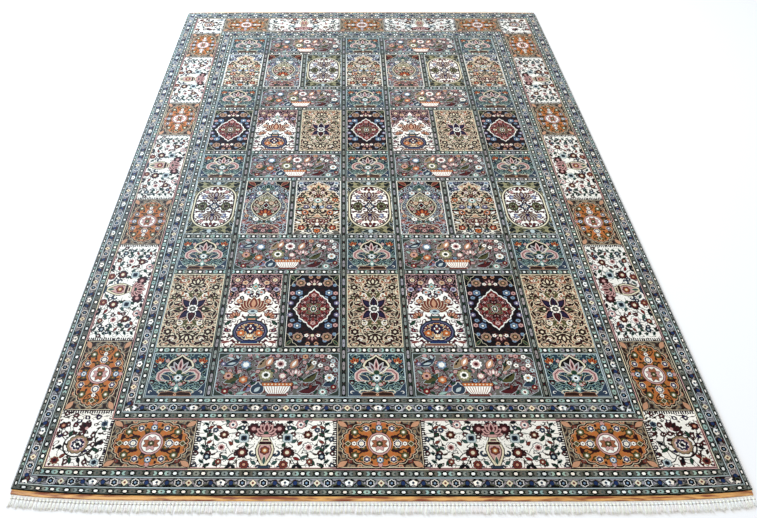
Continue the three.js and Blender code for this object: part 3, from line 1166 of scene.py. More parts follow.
# Each frame of stripes from outside in: the kind, its width along the sides, its width along the ends
OUTER_GUARD = (
    (Stripe.EDGE, 1.5, 1.5),
    (Stripe.DOTS, 8.8, 15.1),
    (Stripe.LINE, 4.4, 4.6),
    (Stripe.FLOWERS, 21.6, 23.6),
    (Stripe.LINE, 4.4, 4.6),
    (Stripe.DOTS, 16.6, 18.0),
    (Stripe.PINK_LINE, 4.4, 4.6),
)
INNER_GUARD = (
    (Stripe.PINK_LINE, 4.4, 4.4),
    (Stripe.DOTS, 16.4, 17.0),
    (Stripe.LINE, 4.4, 4.4),
    (Stripe.FLOWERS, 22.0, 23.0),
    (Stripe.LINE, 4.4, 4.4),
    (Stripe.DOTS, 16.0, 16.4),
    (Stripe.LINE, 4.4, 4.4),
)
BORDER_OUTSIDE = (852.0, 1282.5)
BORDER_INSIDE = (714.0, 1139.5)
FIELD = (642.0, 1065.5)
DIVIDER = 21.5
SIDE_COMB = 27.0
END_COMB = 7.0
SIDE_ORANGE, SIDE_WHITE = 245.0, 415.0
END_ORANGE, END_WHITE = 226.0, 368.0
SIDE_PANELS, END_PANELS = 7, 5

# The rows of tall panels from the far end to the near one, by column
TALL_ROWS = (
    ("arch", "tree", "oval", "arch", "tree", "oval", "arch"),
    ("navy", "vase", "star", "navy", "vase", "star", "navy"),
    ("oval", "tree", "arch", "oval", "tree", "arch", "oval"),
    ("star", "vase", "navy", "star", "vase", "navy", "star"),
)
# The columns of tall panels in each strip of the field
FIELD_STRIPS = ((0,), (1, 2), (3,), (4, 5), (6,))
FIELD_ROWS = 2 * len(TALL_ROWS) + 1

BACK_COLOUR = linear_colour("8f8368")
WALL_SHADE = 0.6

END_NAMES = {-1: "near", 1: "far"}
SIDE_NAMES = {-1: "left", 1: "right"}


def side_edge(y: float) -> float:
    """Half the cloth's width at a distance along the rug from its middle."""
    return HALF_CLOTH - SIDE_SWELL * min(1.0, abs(y) / HALF_PILE) ** 2


def end_edge(end: int, x: float) -> float:
    """How far the pile reaches towards an end, -1 or 1, at a distance across from the middle."""
    return HALF_PILE - DRAWN_IN[end] * math.exp(-max(0.0, HALF_CLOTH - abs(x)) / DRAW_REACH)


def warped(plan: np.ndarray) -> np.ndarray:
    """Lead points of the square-cornered plan to the rug's true, uneven outline.

    Args:
        plan: the points of the plan, one a row.

    Returns:
        The points on the rug, one a row.
    """
    across, along = plan[:, 0], plan[:, 1]
    wide = HALF_CLOTH - SIDE_SWELL * np.minimum(1.0, np.abs(along) / HALF_PILE) ** 2
    x = across * wide / HALF_CLOTH
    drawn = np.where(along < 0, DRAWN_IN[-1], DRAWN_IN[1])
    pull = drawn * np.exp(-np.maximum(0.0, HALF_CLOTH - np.abs(x)) / DRAW_REACH)
    y = along - np.sign(along) * pull * np.exp(-(HALF_PILE - np.abs(along)) / DRAW_FADE)
    return np.column_stack((x, y))


Box = tuple[float, float, float, float]


class Side(Enum):
    """The rug's four sides, by the quarter turns that bring a chart's foot there."""

    NEAR = 0
    RIGHT = 1
    FAR = 2
    LEFT = 3


@dataclass
class PileStrip:
    """One strip of the knotted pile, put together from patches that lie side by side."""

    name: str
    folds: int
    stripes: dict[Stripe, list[Patch]]
    dice: random.Random
    points: list[np.ndarray] = field(default_factory=list)
    faces: list[np.ndarray] = field(default_factory=list)
    colours: dict[str, list[np.ndarray]] = field(default_factory=lambda: defaultdict(list))
    count: int = 0

    def lay(self, patch: Patch, box: Box, side: Side = Side.NEAR, flipped: bool = False,
            unevenness: float = 0.05) -> None:
        """Lay one patch, fitted to a box on the plan.

        Args:
            patch: the patch.
            box: the box's left, near, right and far edges.
            side: the side of the rug that the patch's foot points to.
            flipped: whether it is seen in a mirror.
            unevenness: how much its dye lot may differ, as a share.
        """
        left, near, right, far = box
        middle = ((left + right) / 2, (near + far) / 2)
        x = patch.points[:, 0] / patch.width * (-1 if flipped else 1)
        y = -patch.points[:, 1] / patch.height
        for _ in range(side.value):
            x, y = -y, x
        plan = np.column_stack((middle[0] + x * (right - left), middle[1] + y * (far - near)))
        lot = 1 + self.dice.uniform(-unevenness, unevenness)
        warmth = self.dice.uniform(-unevenness, unevenness) / 2
        self.points.append(plan)
        self.faces.append((patch.faces if flipped else patch.faces[:, ::-1]) + self.count)
        dye_lot = np.array([lot * (1 + warmth), lot, lot * (1 - warmth), 1.0])
        for name, colours in patch.colours.items():
            self.colours[name].append(colours * dye_lot)
        folded = [patch.mirror is not Mirror.NONE, patch.mirror is Mirror.BOTH]
        if side in (Side.LEFT, Side.RIGHT):
            folded.reverse()
        about = [middle[0] * MM, middle[1] * MM, *map(float, folded)]
        self.colours["middle"].append(np.tile(about, (len(patch.faces), 1)))
        self.count += len(plan)

    def run(self, kind: Stripe, box: Box, side: Side) -> None:
        """Fill a straight stretch of a stripe with whole units.

        Args:
            kind: the kind of stripe.
            box: its edges on the plan.
            side: the side of the rug that it lies along.
        """
        units = self.stripes[kind]
        lengthwise = side in (Side.LEFT, Side.RIGHT)
        start, end = (box[1], box[3]) if lengthwise else (box[0], box[2])
        count = max(1, round((end - start) / units[0].width))
        marks = [round(start + (end - start) * i / count, 2) for i in range(count + 1)]
        for i in range(count):
            one, other = marks[i], marks[i + 1]
            place = (box[0], one, box[2], other) if lengthwise else (one, box[1], other, box[3])
            self.lay(self.dice.choice(units), place, side, unevenness=0.12)

    def side_guard(self, stripes: tuple, outside: tuple[float, float], side: Side) -> None:
        """Lay a frame's stripes along one long side, corners included.

        Args:
            stripes: the frame's stripes from outside in.
            outside: the frame's half width and half length.
            side: the long side.
        """
        across, along = outside
        sign = 1 if side is Side.RIGHT else -1
        for kind, beside, ahead in stripes:
            edges = sorted((round(sign * across, 2), round(sign * (across - beside), 2)))
            self.run(kind, (edges[0], -round(along, 2), edges[1], round(along, 2)), side)
            across -= beside
            along -= ahead

    def end_guard(self, stripes: tuple, outside: tuple[float, float], side: Side) -> None:
        """Lay a frame's stripes along one end, between its long sides.

        Args:
            stripes: the frame's stripes from outside in.
            outside: the frame's half width and half length.
            side: the end.
        """
        across, along = outside
        sign = 1 if side is Side.FAR else -1
        for kind, beside, ahead in stripes:
            edges = sorted((round(sign * along, 2), round(sign * (along - ahead), 2)))
            across -= beside
            self.run(kind, (-round(across, 2), edges[0], round(across, 2), edges[1]), side)
            along -= ahead

    def welded(self) -> tuple[np.ndarray, list[tuple[int, ...]], dict[str, np.ndarray]]:
        """Join the patches' equal points and close the seams where one side has more points.

        Returns:
            The plan's points, the triangles, and each triangle's colours.
        """
        plan = np.round(np.concatenate(self.points) * 1000).astype(np.int64)
        faces = np.concatenate(self.faces)
        keys = (plan[:, 0] << 32) + (plan[:, 1] + (1 << 31))
        _, first, same = np.unique(keys, return_index=True, return_inverse=True)
        plan, faces = plan[first], same[faces]
        whole = (faces[:, 0] != faces[:, 1]) & (faces[:, 1] != faces[:, 2]) & (faces[:, 2] != faces[:, 0])
        faces = faces[whole]
        between = self.points_between(plan, faces)
        out, owners = [], []
        for i, face in enumerate(faces.tolist()):
            parts = split(tuple(face), between)
            out += parts
            owners += [i] * len(parts)
        colours = {name: np.concatenate(lots)[whole][owners] for name, lots in self.colours.items()}
        return plan / 1000, out, colours

    @staticmethod
    def points_between(plan: np.ndarray, faces: np.ndarray) -> dict[tuple[int, int], list[int]]:
        """Find the points that lie on a straight seam between the two ends of an edge.

        Args:
            plan: the points, in whole thousandths of a millimetre.
            faces: the triangles.

        Returns:
            For each such edge, in both directions, the points in order.
        """
        edges = np.concatenate([faces[:, [0, 1]], faces[:, [1, 2]], faces[:, [2, 0]]])
        low, high = edges.min(axis=1), edges.max(axis=1)
        keys, counts = np.unique((low << 32) + high, return_counts=True)
        single = keys[counts == 1]
        ends = np.column_stack((single >> 32, single & 0xFFFFFFFF))
        between: dict[tuple[int, int], list[int]] = {}
        for axis in (0, 1):
            on_line = ends[plan[ends[:, 0], axis] == plan[ends[:, 1], axis]]
            lines = defaultdict(list)
            for a, b in on_line.tolist():
                lines[int(plan[a, axis])].append((a, b))
            for line in lines.values():
                on = sorted({p for edge in line for p in edge}, key=lambda p: plan[p, 1 - axis])
                rank = {p: i for i, p in enumerate(on)}
                for a, b in line:
                    first, last = sorted((rank[a], rank[b]))
                    inside = on[first + 1:last]
                    if inside:
                        forward = inside if rank[a] < rank[b] else inside[::-1]
                        between[a, b] = forward
                        between[b, a] = forward[::-1]
        return between

    def build(self) -> bpy.types.Object:
        """Make the strip a closed solid: its face, its walls and its plain back.

        Returns:
            The new object, with each face's dye as an attribute and a map for baking.
        """
        plan, faces, colours = self.welded()
        flat = warped(plan)
        rim = (np.abs(plan[:, 0]) > HALF_CLOTH - 0.01) | (np.abs(plan[:, 1]) > HALF_PILE - 0.01)
        height = np.where(rim, PILE_HEIGHT - RIM_DROP, PILE_HEIGHT)
        owner = {}
        for i, (a, b, c) in enumerate(faces):
            owner[a, b] = owner[b, c] = owner[c, a] = i
        after = {a: b for a, b in owner if (b, a) not in owner}
        under = {a: len(plan) + i for i, a in enumerate(after)}
        loops = closed_loops(after)
        walls = [(a, under[a], under[b], b) for a, b in after.items()]
        backs = [tuple(under[a] for a in reversed(loop)) for loop in loops]
        rim_points = list(after)
        top = np.column_stack((flat, height))
        low = np.column_stack((flat[rim_points], np.zeros(len(rim_points))))
        mesh = bpy.data.meshes.new(self.name)
        mesh.from_pydata((np.concatenate((top, low)) * MM).tolist(), [], [*faces, *walls, *backs])
        for name, values in colours.items():
            shade = np.array([WALL_SHADE] * 3 + [1.0] if name == "dye" else [0.0] * 4)
            rim_values = values[[owner[edge] for edge in after.items()]] * shade
            back_values = np.tile([*BACK_COLOUR, 1.0 if name == "dye" else 0.0], (len(backs), 1))
            everything = np.concatenate((values, rim_values, back_values)).astype(np.float32)
            mesh.attributes.new(name, "FLOAT_COLOR", "FACE").data.foreach_set("color", everything.ravel())
        self.map_for_baking(mesh, plan, faces, after, owner)
        mesh.update()
        return add_object(self.name, mesh)

    def map_for_baking(self, mesh: bpy.types.Mesh, plan: np.ndarray, faces: list[tuple[int, ...]],
                       after: dict[int, int], owner: dict[tuple[int, int], int]) -> None:
        """Lay the long strip out in a few rows on a square map.

        Args:
            mesh: the strip's mesh: the faces, then the walls, then the backs.
            plan: the plan's points.
            faces: the triangles of the face.
            after: the next rim point after each.
            owner: the triangle beside each directed edge.
        """
        margin, wall = 50.0, 3.0
        lengthwise = np.ptp(plan[:, 1]) > np.ptp(plan[:, 0])
        long_way, short_way = (plan[:, 1], plan[:, 0]) if lengthwise else (plan[:, 0], plan[:, 1])
        long_way = long_way - long_way.min()
        short_way = short_way - short_way.min()
        row_length = long_way.max() / self.folds
        row_height = short_way.max() + margin
        side = max(row_length, row_height * self.folds) + 2 * margin
        corners = np.array(faces)
        row = np.minimum((long_way[corners].mean(axis=1) / row_length).astype(int), self.folds - 1)
        u = long_way[corners] - (row * row_length)[:, None] + margin
        v = short_way[corners] + (row * row_height)[:, None] + margin
        face_map = np.stack((u, v), axis=2).reshape(-1, 2)
        middle = np.array([long_way.mean(), short_way.mean()])
        wall_map = []
        for a, b in after.items():
            lift = row[owner[a, b]]
            shift = np.array([margin - lift * row_length, margin + lift * row_height])
            here = np.array([long_way[a], short_way[a]])
            there = np.array([long_way[b], short_way[b]])
            way = (there - here) / max(np.hypot(*(there - here)), 1e-6)
            out = np.array([way[1], -way[0]]) * wall
            if np.dot(out, (here + there) / 2 - middle) < 0:
                out = -out
            wall_map += [here + shift, here + out + shift, there + out + shift, there + shift]
        back_count = len(mesh.loops) - len(face_map) - len(wall_map)
        back_map = np.linspace((4.0, 4.0), (20.0, 20.0), back_count)
        everything = np.concatenate((face_map, np.array(wall_map), back_map)) / side
        layer = mesh.uv_layers.new(name="OFBake")
        layer.data.foreach_set("uv", everything.astype(np.float32).ravel())


def split(face: tuple[int, ...], between: dict[tuple[int, int], list[int]]) -> list[tuple[int, ...]]:
    """Split a triangle at the points that lie on its edges.

    Args:
        face: the triangle's three points.
        between: the points in order on each edge that has any, in both directions.

    Returns:
        The triangles that it is split into.
    """
    for k in range(3):
        a, b, c = face[k], face[(k + 1) % 3], face[(k + 2) % 3]
        inside = between.get((a, b))
        if inside:
            chain = [a, *inside, b]
            return [part for p, q in zip(chain, chain[1:]) for part in split((p, q, c), between)]
    return [face]


def closed_loops(after: dict[int, int]) -> list[list[int]]:
    """Follow the rim from point to point until it closes, for each of its loops.

    Args:
        after: the next rim point after each.

    Returns:
        The points of each loop, in order.
    """
    left = dict(after)
    loops = []
    while left:
        start = here = next(iter(left))
        loop = []
        while here in left:
            loop.append(here)
            here = left.pop(here)
        if here == start and len(loop) > 2:
            loops.append(loop)
    return loops


def add_object(name: str, mesh: bpy.types.Mesh) -> bpy.types.Object:
    """Put a mesh into the scene as an object at the origin.

    Args:
        name: the object's name.
        mesh: its mesh.

    Returns:
        The object.
    """
    piece = bpy.data.objects.new(name, mesh)
    bpy.context.scene.collection.objects.link(piece)
    return piece


# Node trees
class Value:
    """A number in a shader tree, with Python's arithmetic."""

    def __init__(self, nodes: "Nodes", socket: bpy.types.NodeSocket) -> None:
        """Wrap a socket of a tree."""
        self.nodes = nodes
        self.socket = socket

    def maths(self, operation: str, *others: "Value | float") -> "Value":
        """Put this value, with others after it, through a Math node."""
        return self.nodes.maths(operation, self, *others)

    def __add__(self, other: "Value | float") -> "Value":
        """Add a value."""
        return self.maths("ADD", other)

    __radd__ = __add__

    def __sub__(self, other: "Value | float") -> "Value":
        """Take a value away."""
        return self.maths("SUBTRACT", other)

    def __rsub__(self, other: float) -> "Value":
        """Take this value away from a number."""
        return self.nodes.maths("SUBTRACT", other, self)

    def __mul__(self, other: "Value | float") -> "Value":
        """Multiply by a value."""
        return self.maths("MULTIPLY", other)

    __rmul__ = __mul__


class Nodes:
    """A node tree that is put together in Python."""

    def __init__(self, tree: bpy.types.NodeTree) -> None:
        """Start on an empty tree."""
        self.tree = tree

    def add(self, kind: str, settings: dict | None = None, inputs: dict | None = None) -> bpy.types.Node:
        """Add a node.

        Args:
            kind: its type.
            settings: its properties, with a ramp's stops as "stops".
            inputs: the values or links of its sockets, by name or number.

        Returns:
            The node.
        """
        node = self.tree.nodes.new(kind)
        for name, value in (settings or {}).items():
            if name == "stops":
                for element, (place, colour) in zip(node.color_ramp.elements, value):
                    element.position, element.color = place, (*colour, 1.0)
            else:
                setattr(node, name, value)
        self.connect(node, inputs or {})
        return node

    def connect(self, node: bpy.types.Node, inputs: dict) -> None:
        """Give a node's sockets, by name or number, their values or links.

        Args:
            node: the node.
            inputs: a number, a colour, a Value or a link for each socket.
        """
        for name, value in inputs.items():
            source = value.socket if isinstance(value, Value) else value
            if isinstance(source, bpy.types.NodeSocket):
                self.tree.links.new(source, node.inputs[name])
            else:
                node.inputs[name].default_value = source

    def maths(self, operation: str, *values: Value | float) -> Value:
        """The result of a Math node on some values."""
        node = self.add("ShaderNodeMath", {"operation": operation}, dict(enumerate(values)))
        return Value(self, node.outputs[0])

    def attribute(self, name: str) -> bpy.types.bpy_prop_collection:
        """The outputs that read one of the mesh's attributes."""
        return self.add("ShaderNodeAttribute", {"attribute_name": name}).outputs

    def places(self) -> tuple[bpy.types.NodeSocket, Value, Value]:
        """The object's coordinates, and of them the place across the rug and the place along it.

        Returns:
            The coordinates' link, the place across and the place along.
        """
        at = self.add("ShaderNodeTexCoord").outputs["Object"]
        parts = self.add("ShaderNodeSeparateXYZ", None, {0: at})
        return at, Value(self, parts.outputs[0]), Value(self, parts.outputs[1])

    def noise(self, at: bpy.types.NodeSocket, scale: tuple[float, float, float],
              detail: float = 2.0) -> Value:
        """A soft random value around 0.5 that changes over a surface.

        Args:
            at: the coordinates that it reads.
            scale: how often it changes along X, Y and Z, for each metre.
            detail: how many finer layers it has.

        Returns:
            The value.
        """
        placed = self.add("ShaderNodeMapping", None, {"Vector": at, "Scale": scale})
        noise = self.add("ShaderNodeTexNoise", None,
                         {"Vector": placed.outputs[0], "Scale": 1.0, "Detail": detail})
        return Value(self, noise.outputs[0])

    def wave(self, at: Value, pitch: float) -> Value:
        """A wave from 0 to 1 along a coordinate, given its pitch in metres."""
        return (at * (2 * math.pi / pitch)).maths("SINE") * 0.5 + 0.5

    def mixed(self, share: Value | float, under: bpy.types.NodeSocket,
              over: bpy.types.NodeSocket) -> bpy.types.NodeSocket:
        """One colour laid over another where a share is 1."""
        node = self.add("ShaderNodeMix", {"data_type": "RGBA"}, {0: share, 6: under, 7: over})
        return node.outputs[2]

    def scaled(self, colour: bpy.types.NodeSocket, by: Value | float) -> bpy.types.NodeSocket:
        """A colour made lighter or darker by a value, or a place moved out or in."""
        node = self.add("ShaderNodeVectorMath", {"operation": "SCALE"}, {0: colour, "Scale": by})
        return node.outputs[0]

    def bump(self, strength: float, distance: float, height: Value) -> bpy.types.NodeSocket:
        """The direction of a surface that a value raises and sinks by up to a distance.

        Args:
            strength: how strongly the light shows it.
            distance: the distance.
            height: the value.

        Returns:
            The link to a material's Normal.
        """
        node = self.add("ShaderNodeBump", None,
                        {"Strength": strength, "Distance": distance, "Height": height})
        return node.outputs[0]


def new_material(name: str) -> tuple[bpy.types.Material, Nodes, bpy.types.Node]:
    """Start a material.

    Args:
        name: its name.

    Returns:
        The material, its tree and its Principled node.
    """
    material = bpy.data.materials.new(name)
    material.use_nodes = True
    return material, Nodes(material.node_tree), material.node_tree.nodes["Principled BSDF"]


# Finishes
@dataclass(frozen=True)
class SilkPile:
    """Knotted silk: dyed knots in rows, filled grounds, uneven dye lots, large patches of painted sheen, and
    a soft shine.
    """

    knot_pitch: float = 1.6 * MM
    depth: float = 0.98
    contrast: float = 1.42
    fading: float = 0.14
    speckle: float = 0.24
    abrash: float = 0.26
    # How much large soft patches of painted sheen lighten and darken the colour
    painted_sheen_patches: float = 0.2
    rows: float = 0.16
    relief: float = 0.35 * MM
    roughness: float = 0.44
    specular: float = 0.06
    sheen: float = 0.02
    scroll_size: float = 26 * MM
    scroll_levels: float = 5.0
    scroll_reach: float = 0.19
    scroll_edge_reach: float = 0.33
    blossom_size: float = 27 * MM
    blossom_radius: float = 0.27
    blossom_chance: float = 0.6
    blossom_waver: float = 0.16

    def knots(self, nodes: Nodes, at: bpy.types.NodeSocket) -> bpy.types.NodeSocket:
        """The place of each knot, from the object's coordinates."""
        grid = nodes.scaled(at, 1 / self.knot_pitch)
        return nodes.add("ShaderNodeVectorMath", {"operation": "FLOOR"}, {0: grid}).outputs[0]

    def filled(self, nodes: Nodes, across: Value, along: Value,
               dye: bpy.types.NodeSocket) -> bpy.types.NodeSocket:
        """Knot scrolls and small blossoms into the grounds that have a filling.

        They are mirrored about the middle of the panel where its chart is.

        Args:
            nodes: the material's tree.
            across: the place across the rug.
            along: the place along it.
            dye: the colour without them.

        Returns:
            The colour with them.
        """
        inks = {name: nodes.attribute(name) for name in ("scroll", "edge", "blossom", "leaf", "middle")}
        middle = nodes.add("ShaderNodeSeparateXYZ", None, {0: inks["middle"]["Vector"]}).outputs
        x, y = across - Value(nodes, middle[0]), along - Value(nodes, middle[1])
        x = x + (x.maths("ABSOLUTE") - x) * Value(nodes, middle[2])
        y = y + (y.maths("ABSOLUTE") - y) * Value(nodes, inks["middle"]["Alpha"])
        seed = Value(nodes, inks["edge"]["Alpha"])
        place = nodes.add("ShaderNodeCombineXYZ", None, {0: x + seed * 1.3, 1: y + seed * 0.7})
        cell = self.knots(nodes, place.outputs[0])
        size = self.knot_pitch / self.scroll_size
        wave = (nodes.noise(cell, (size, size, size), 1.0) * self.scroll_levels).maths("PINGPONG", 0.5)
        amount = Value(nodes, inks["scroll"]["Alpha"])
        colour = dye
        for reach, ink in ((self.scroll_edge_reach, "edge"), (self.scroll_reach, "scroll")):
            inside = (wave - amount * reach).maths("LESS_THAN", 0.0)
            colour = nodes.mixed(inside, colour, inks[ink]["Color"])
        placed = nodes.scaled(cell, self.knot_pitch / self.blossom_size)
        cells = nodes.add("ShaderNodeTexVoronoi", {"voronoi_dimensions": "2D"},
                          {"Vector": placed, "Scale": 1.0, "Randomness": 0.7})
        chance = nodes.add("ShaderNodeSeparateXYZ", None, {0: cells.outputs["Color"]}).outputs
        distance = Value(nodes, cells.outputs["Distance"]) + wave * self.blossom_waver
        present = Value(nodes, chance[0]).maths("LESS_THAN", self.blossom_chance)
        present = present * Value(nodes, inks["blossom"]["Alpha"])
        either = Value(nodes, chance[1]).maths("LESS_THAN", 0.5)
        petals = nodes.mixed(either, inks["blossom"]["Color"], inks["leaf"]["Color"])
        for reach, ink in ((1.25, inks["scroll"]["Color"]), (1.0, petals), (0.5, inks["edge"]["Color"])):
            inside = distance.maths("LESS_THAN", self.blossom_radius * reach)
            colour = nodes.mixed(inside * present, colour, ink)
        return colour

    def material(self) -> bpy.types.Material:
        """Build the material, which takes its colours from the mesh's own dyes.

        Returns:
            The material.
        """
        material, nodes, shader = new_material("silk_pile")
        at, across, along = nodes.places()
        knot = nodes.add("ShaderNodeTexWhiteNoise", {"noise_dimensions": "2D"},
                         {"Vector": self.knots(nodes, at)})
        bands = nodes.noise(at, (0.5, 5.0, 1.0))
        # Large soft patches: painted sheen in the colour, and real changes of roughness and relief
        sheen_and_relief_patches = nodes.noise(at, (2.2, 2.6, 1.0))
        rows = nodes.noise(at, (3.0, 240.0, 1.0))
        light = self.depth + (Value(nodes, knot.outputs["Value"]) - 0.5) * self.speckle
        light = light + (bands - 0.5) * self.abrash
        # The large patches lighten and darken the colour as painted sheen
        light = light + (sheen_and_relief_patches - 0.5) * self.painted_sheen_patches + (rows - 0.5) * self.rows
        pattern = self.filled(nodes, across, along, nodes.attribute("dye")["Color"])
        deep = nodes.add("ShaderNodeGamma", None, {0: pattern, 1: self.contrast}).outputs[0]
        grey = nodes.add("ShaderNodeRGBToBW", None, {0: deep}).outputs[0]
        waves = nodes.wave(across, self.knot_pitch) + nodes.wave(along, self.knot_pitch)
        nodes.connect(shader, {
            "Base Color": nodes.scaled(nodes.mixed(self.fading, deep, grey), light),
            "Normal": nodes.bump(0.5, self.relief, waves * 0.5 + sheen_and_relief_patches * 2.0),
            "Roughness": self.roughness + (sheen_and_relief_patches - 0.5) * 0.16,
            "Sheen Weight": self.sheen,
            "Sheen Roughness": 0.45,
            "Specular IOR Level": self.specular,
        })
        return material


@dataclass(frozen=True)
class FlatWeave:
    """Flat-woven gold silk: fine ribs across the rug, mottled where the dye took unevenly."""

    light: str = "f0b466"
    dark: str = "90430c"
    rib_pitch: float = 1.5 * MM

    def material(self) -> bpy.types.Material:
        """Build the material.

        Returns:
            The material.
        """
        material, nodes, shader = new_material("gold_weave")
        at, across, along = nodes.places()
        mottle = nodes.noise(at, (16.0, 110.0, 1.0), 5.0)
        stops = ((0.4, linear_colour(self.dark)), (0.57, linear_colour(self.light)))
        ramp = nodes.add("ShaderNodeValToRGB", {"stops": stops}, {0: mottle})
        ribs = nodes.wave(along, self.rib_pitch)
        threads = nodes.wave(across, 2 * self.rib_pitch)
        nodes.connect(shader, {
            "Base Color": nodes.scaled(ramp.outputs[0], 0.8 + ribs * 0.2 + threads * 0.12),
            "Normal": nodes.bump(0.6, 0.4 * MM, ribs + threads * 0.6 + mottle * 2),
            "Roughness": 0.5,
            "Sheen Weight": 0.3,
        })
        return material


@dataclass(frozen=True)
class Yarn:
    """Spun yarn: the mesh's own dyes, with fibres that run along the strands."""

    name: str
    fibres: tuple[float, float, float]
    roughness: float
    sheen: float
    unevenness: float = 0.3

    def material(self) -> bpy.types.Material:
        """Build the material.

        Returns:
            The material.
        """
        material, nodes, shader = new_material(self.name)
        at = nodes.add("ShaderNodeTexCoord").outputs["Object"]
        fibres = nodes.noise(at, self.fibres)
        patches = nodes.noise(at, (9.0, 9.0, 9.0))
        shade = 1.0 + (fibres - 0.5) * self.unevenness + (patches - 0.5) * self.unevenness
        nodes.connect(shader, {
            "Base Color": nodes.scaled(nodes.attribute("dye")["Color"], shade),
            "Normal": nodes.bump(0.5, 0.3 * MM, fibres),
            "Roughness": self.roughness,
            "Sheen Weight": self.sheen,
        })
        return material


Ring = list[tuple[float, float, float]]


@dataclass
class Shell:
    """Closed lumps, strands and strips, gathered into one mesh, in millimetres."""

    points: Ring = field(default_factory=list)
    faces: list[tuple[int, ...]] = field(default_factory=list)
    colours: list[tuple[float, ...]] = field(default_factory=list)

    def loft(self, sections: list[Ring], colour: tuple[float, ...]) -> None:
        """Join closed sections of equal size one after another, with a cap at each end.

        Args:
            sections: the sections in order.
            colour: their dye in linear light.
        """
        size = len(sections[0])
        first = len(self.points)
        before = len(self.faces)
        for section in sections:
            self.points += section
        for s in range(len(sections) - 1):
            for k in range(size):
                a, b = first + size * s + k, first + size * s + (k + 1) % size
                self.faces.append((a, b, b + size, a + size))
        self.faces.append(tuple(first + k for k in reversed(range(size))))
        self.faces.append(tuple(len(self.points) - size + k for k in range(size)))
        self.colours += [colour] * (len(self.faces) - before)

    def strand(self, path: Ring, radii: list[float], colour: tuple[float, ...], sides: int = 3) -> None:
        """Lay a strand that runs along Y through some points, with a radius at each.

        Args:
            path: the points in order.
            radii: the radius at each point.
            colour: its dye in linear light.
            sides: how many sides it has.
        """
        angles = [2 * math.pi * (k + 0.25) / sides for k in range(sides)]
        self.loft([[(x + r * math.cos(a), y, z + r * math.sin(a)) for a in angles]
                   for (x, y, z), r in zip(path, radii)], colour)

    def lump(self, at: tuple[float, float, float], radii: tuple[float, float, float], turn: float,
             colour: tuple[float, ...], sides: int = 6, rings: int = 5) -> None:
        """Lay a rounded lump, turned about Z by some degrees.

        Args:
            at: its middle.
            radii: its radii along X, Y and Z before it is turned.
            turn: the turn.
            colour: its dye in linear light.
            sides: how many sides it has.
            rings: how many rings of points it has.
        """
        c, s = math.cos(math.radians(turn)), math.sin(math.radians(turn))
        sections = []
        for i in range(rings):
            polar = math.pi * (0.08 + 0.84 * i / (rings - 1))
            ring = []
            for k in range(sides):
                angle = 2 * math.pi * k / sides
                x = radii[0] * math.sin(polar) * math.cos(angle)
                y = -radii[1] * math.cos(polar)
                z = radii[2] * math.sin(polar) * math.sin(angle)
                ring.append((at[0] + c * x - s * y, at[1] + s * x + c * y, at[2] + z))
            sections.append(ring)
        self.loft(sections, colour)

    def mesh(self, name: str, smooth_shaded: bool = True) -> bpy.types.Mesh:
        """Make the mesh, in metres, with its dyes as an attribute.

        Args:
            name: the mesh's name.
            smooth_shaded: whether its faces are shaded as one round surface.

        Returns:
            The mesh, with its faces pointing out.
        """
        mesh = bpy.data.meshes.new(name)
        mesh.from_pydata([tuple(MM * c for c in p) for p in self.points], [], self.faces)
        dyes = np.ones((len(self.faces), 4), dtype=np.float32)
        dyes[:, :3] = self.colours
        mesh.attributes.new("dye", "FLOAT_COLOR", "FACE").data.foreach_set("color", dyes.ravel())
        mesh.polygons.foreach_set("use_smooth", [smooth_shaded] * len(mesh.polygons))
        work = bmesh.new()
        work.from_mesh(mesh)
        bmesh.ops.recalc_face_normals(work, faces=work.faces)
        work.to_mesh(mesh)
        work.free()
        return mesh


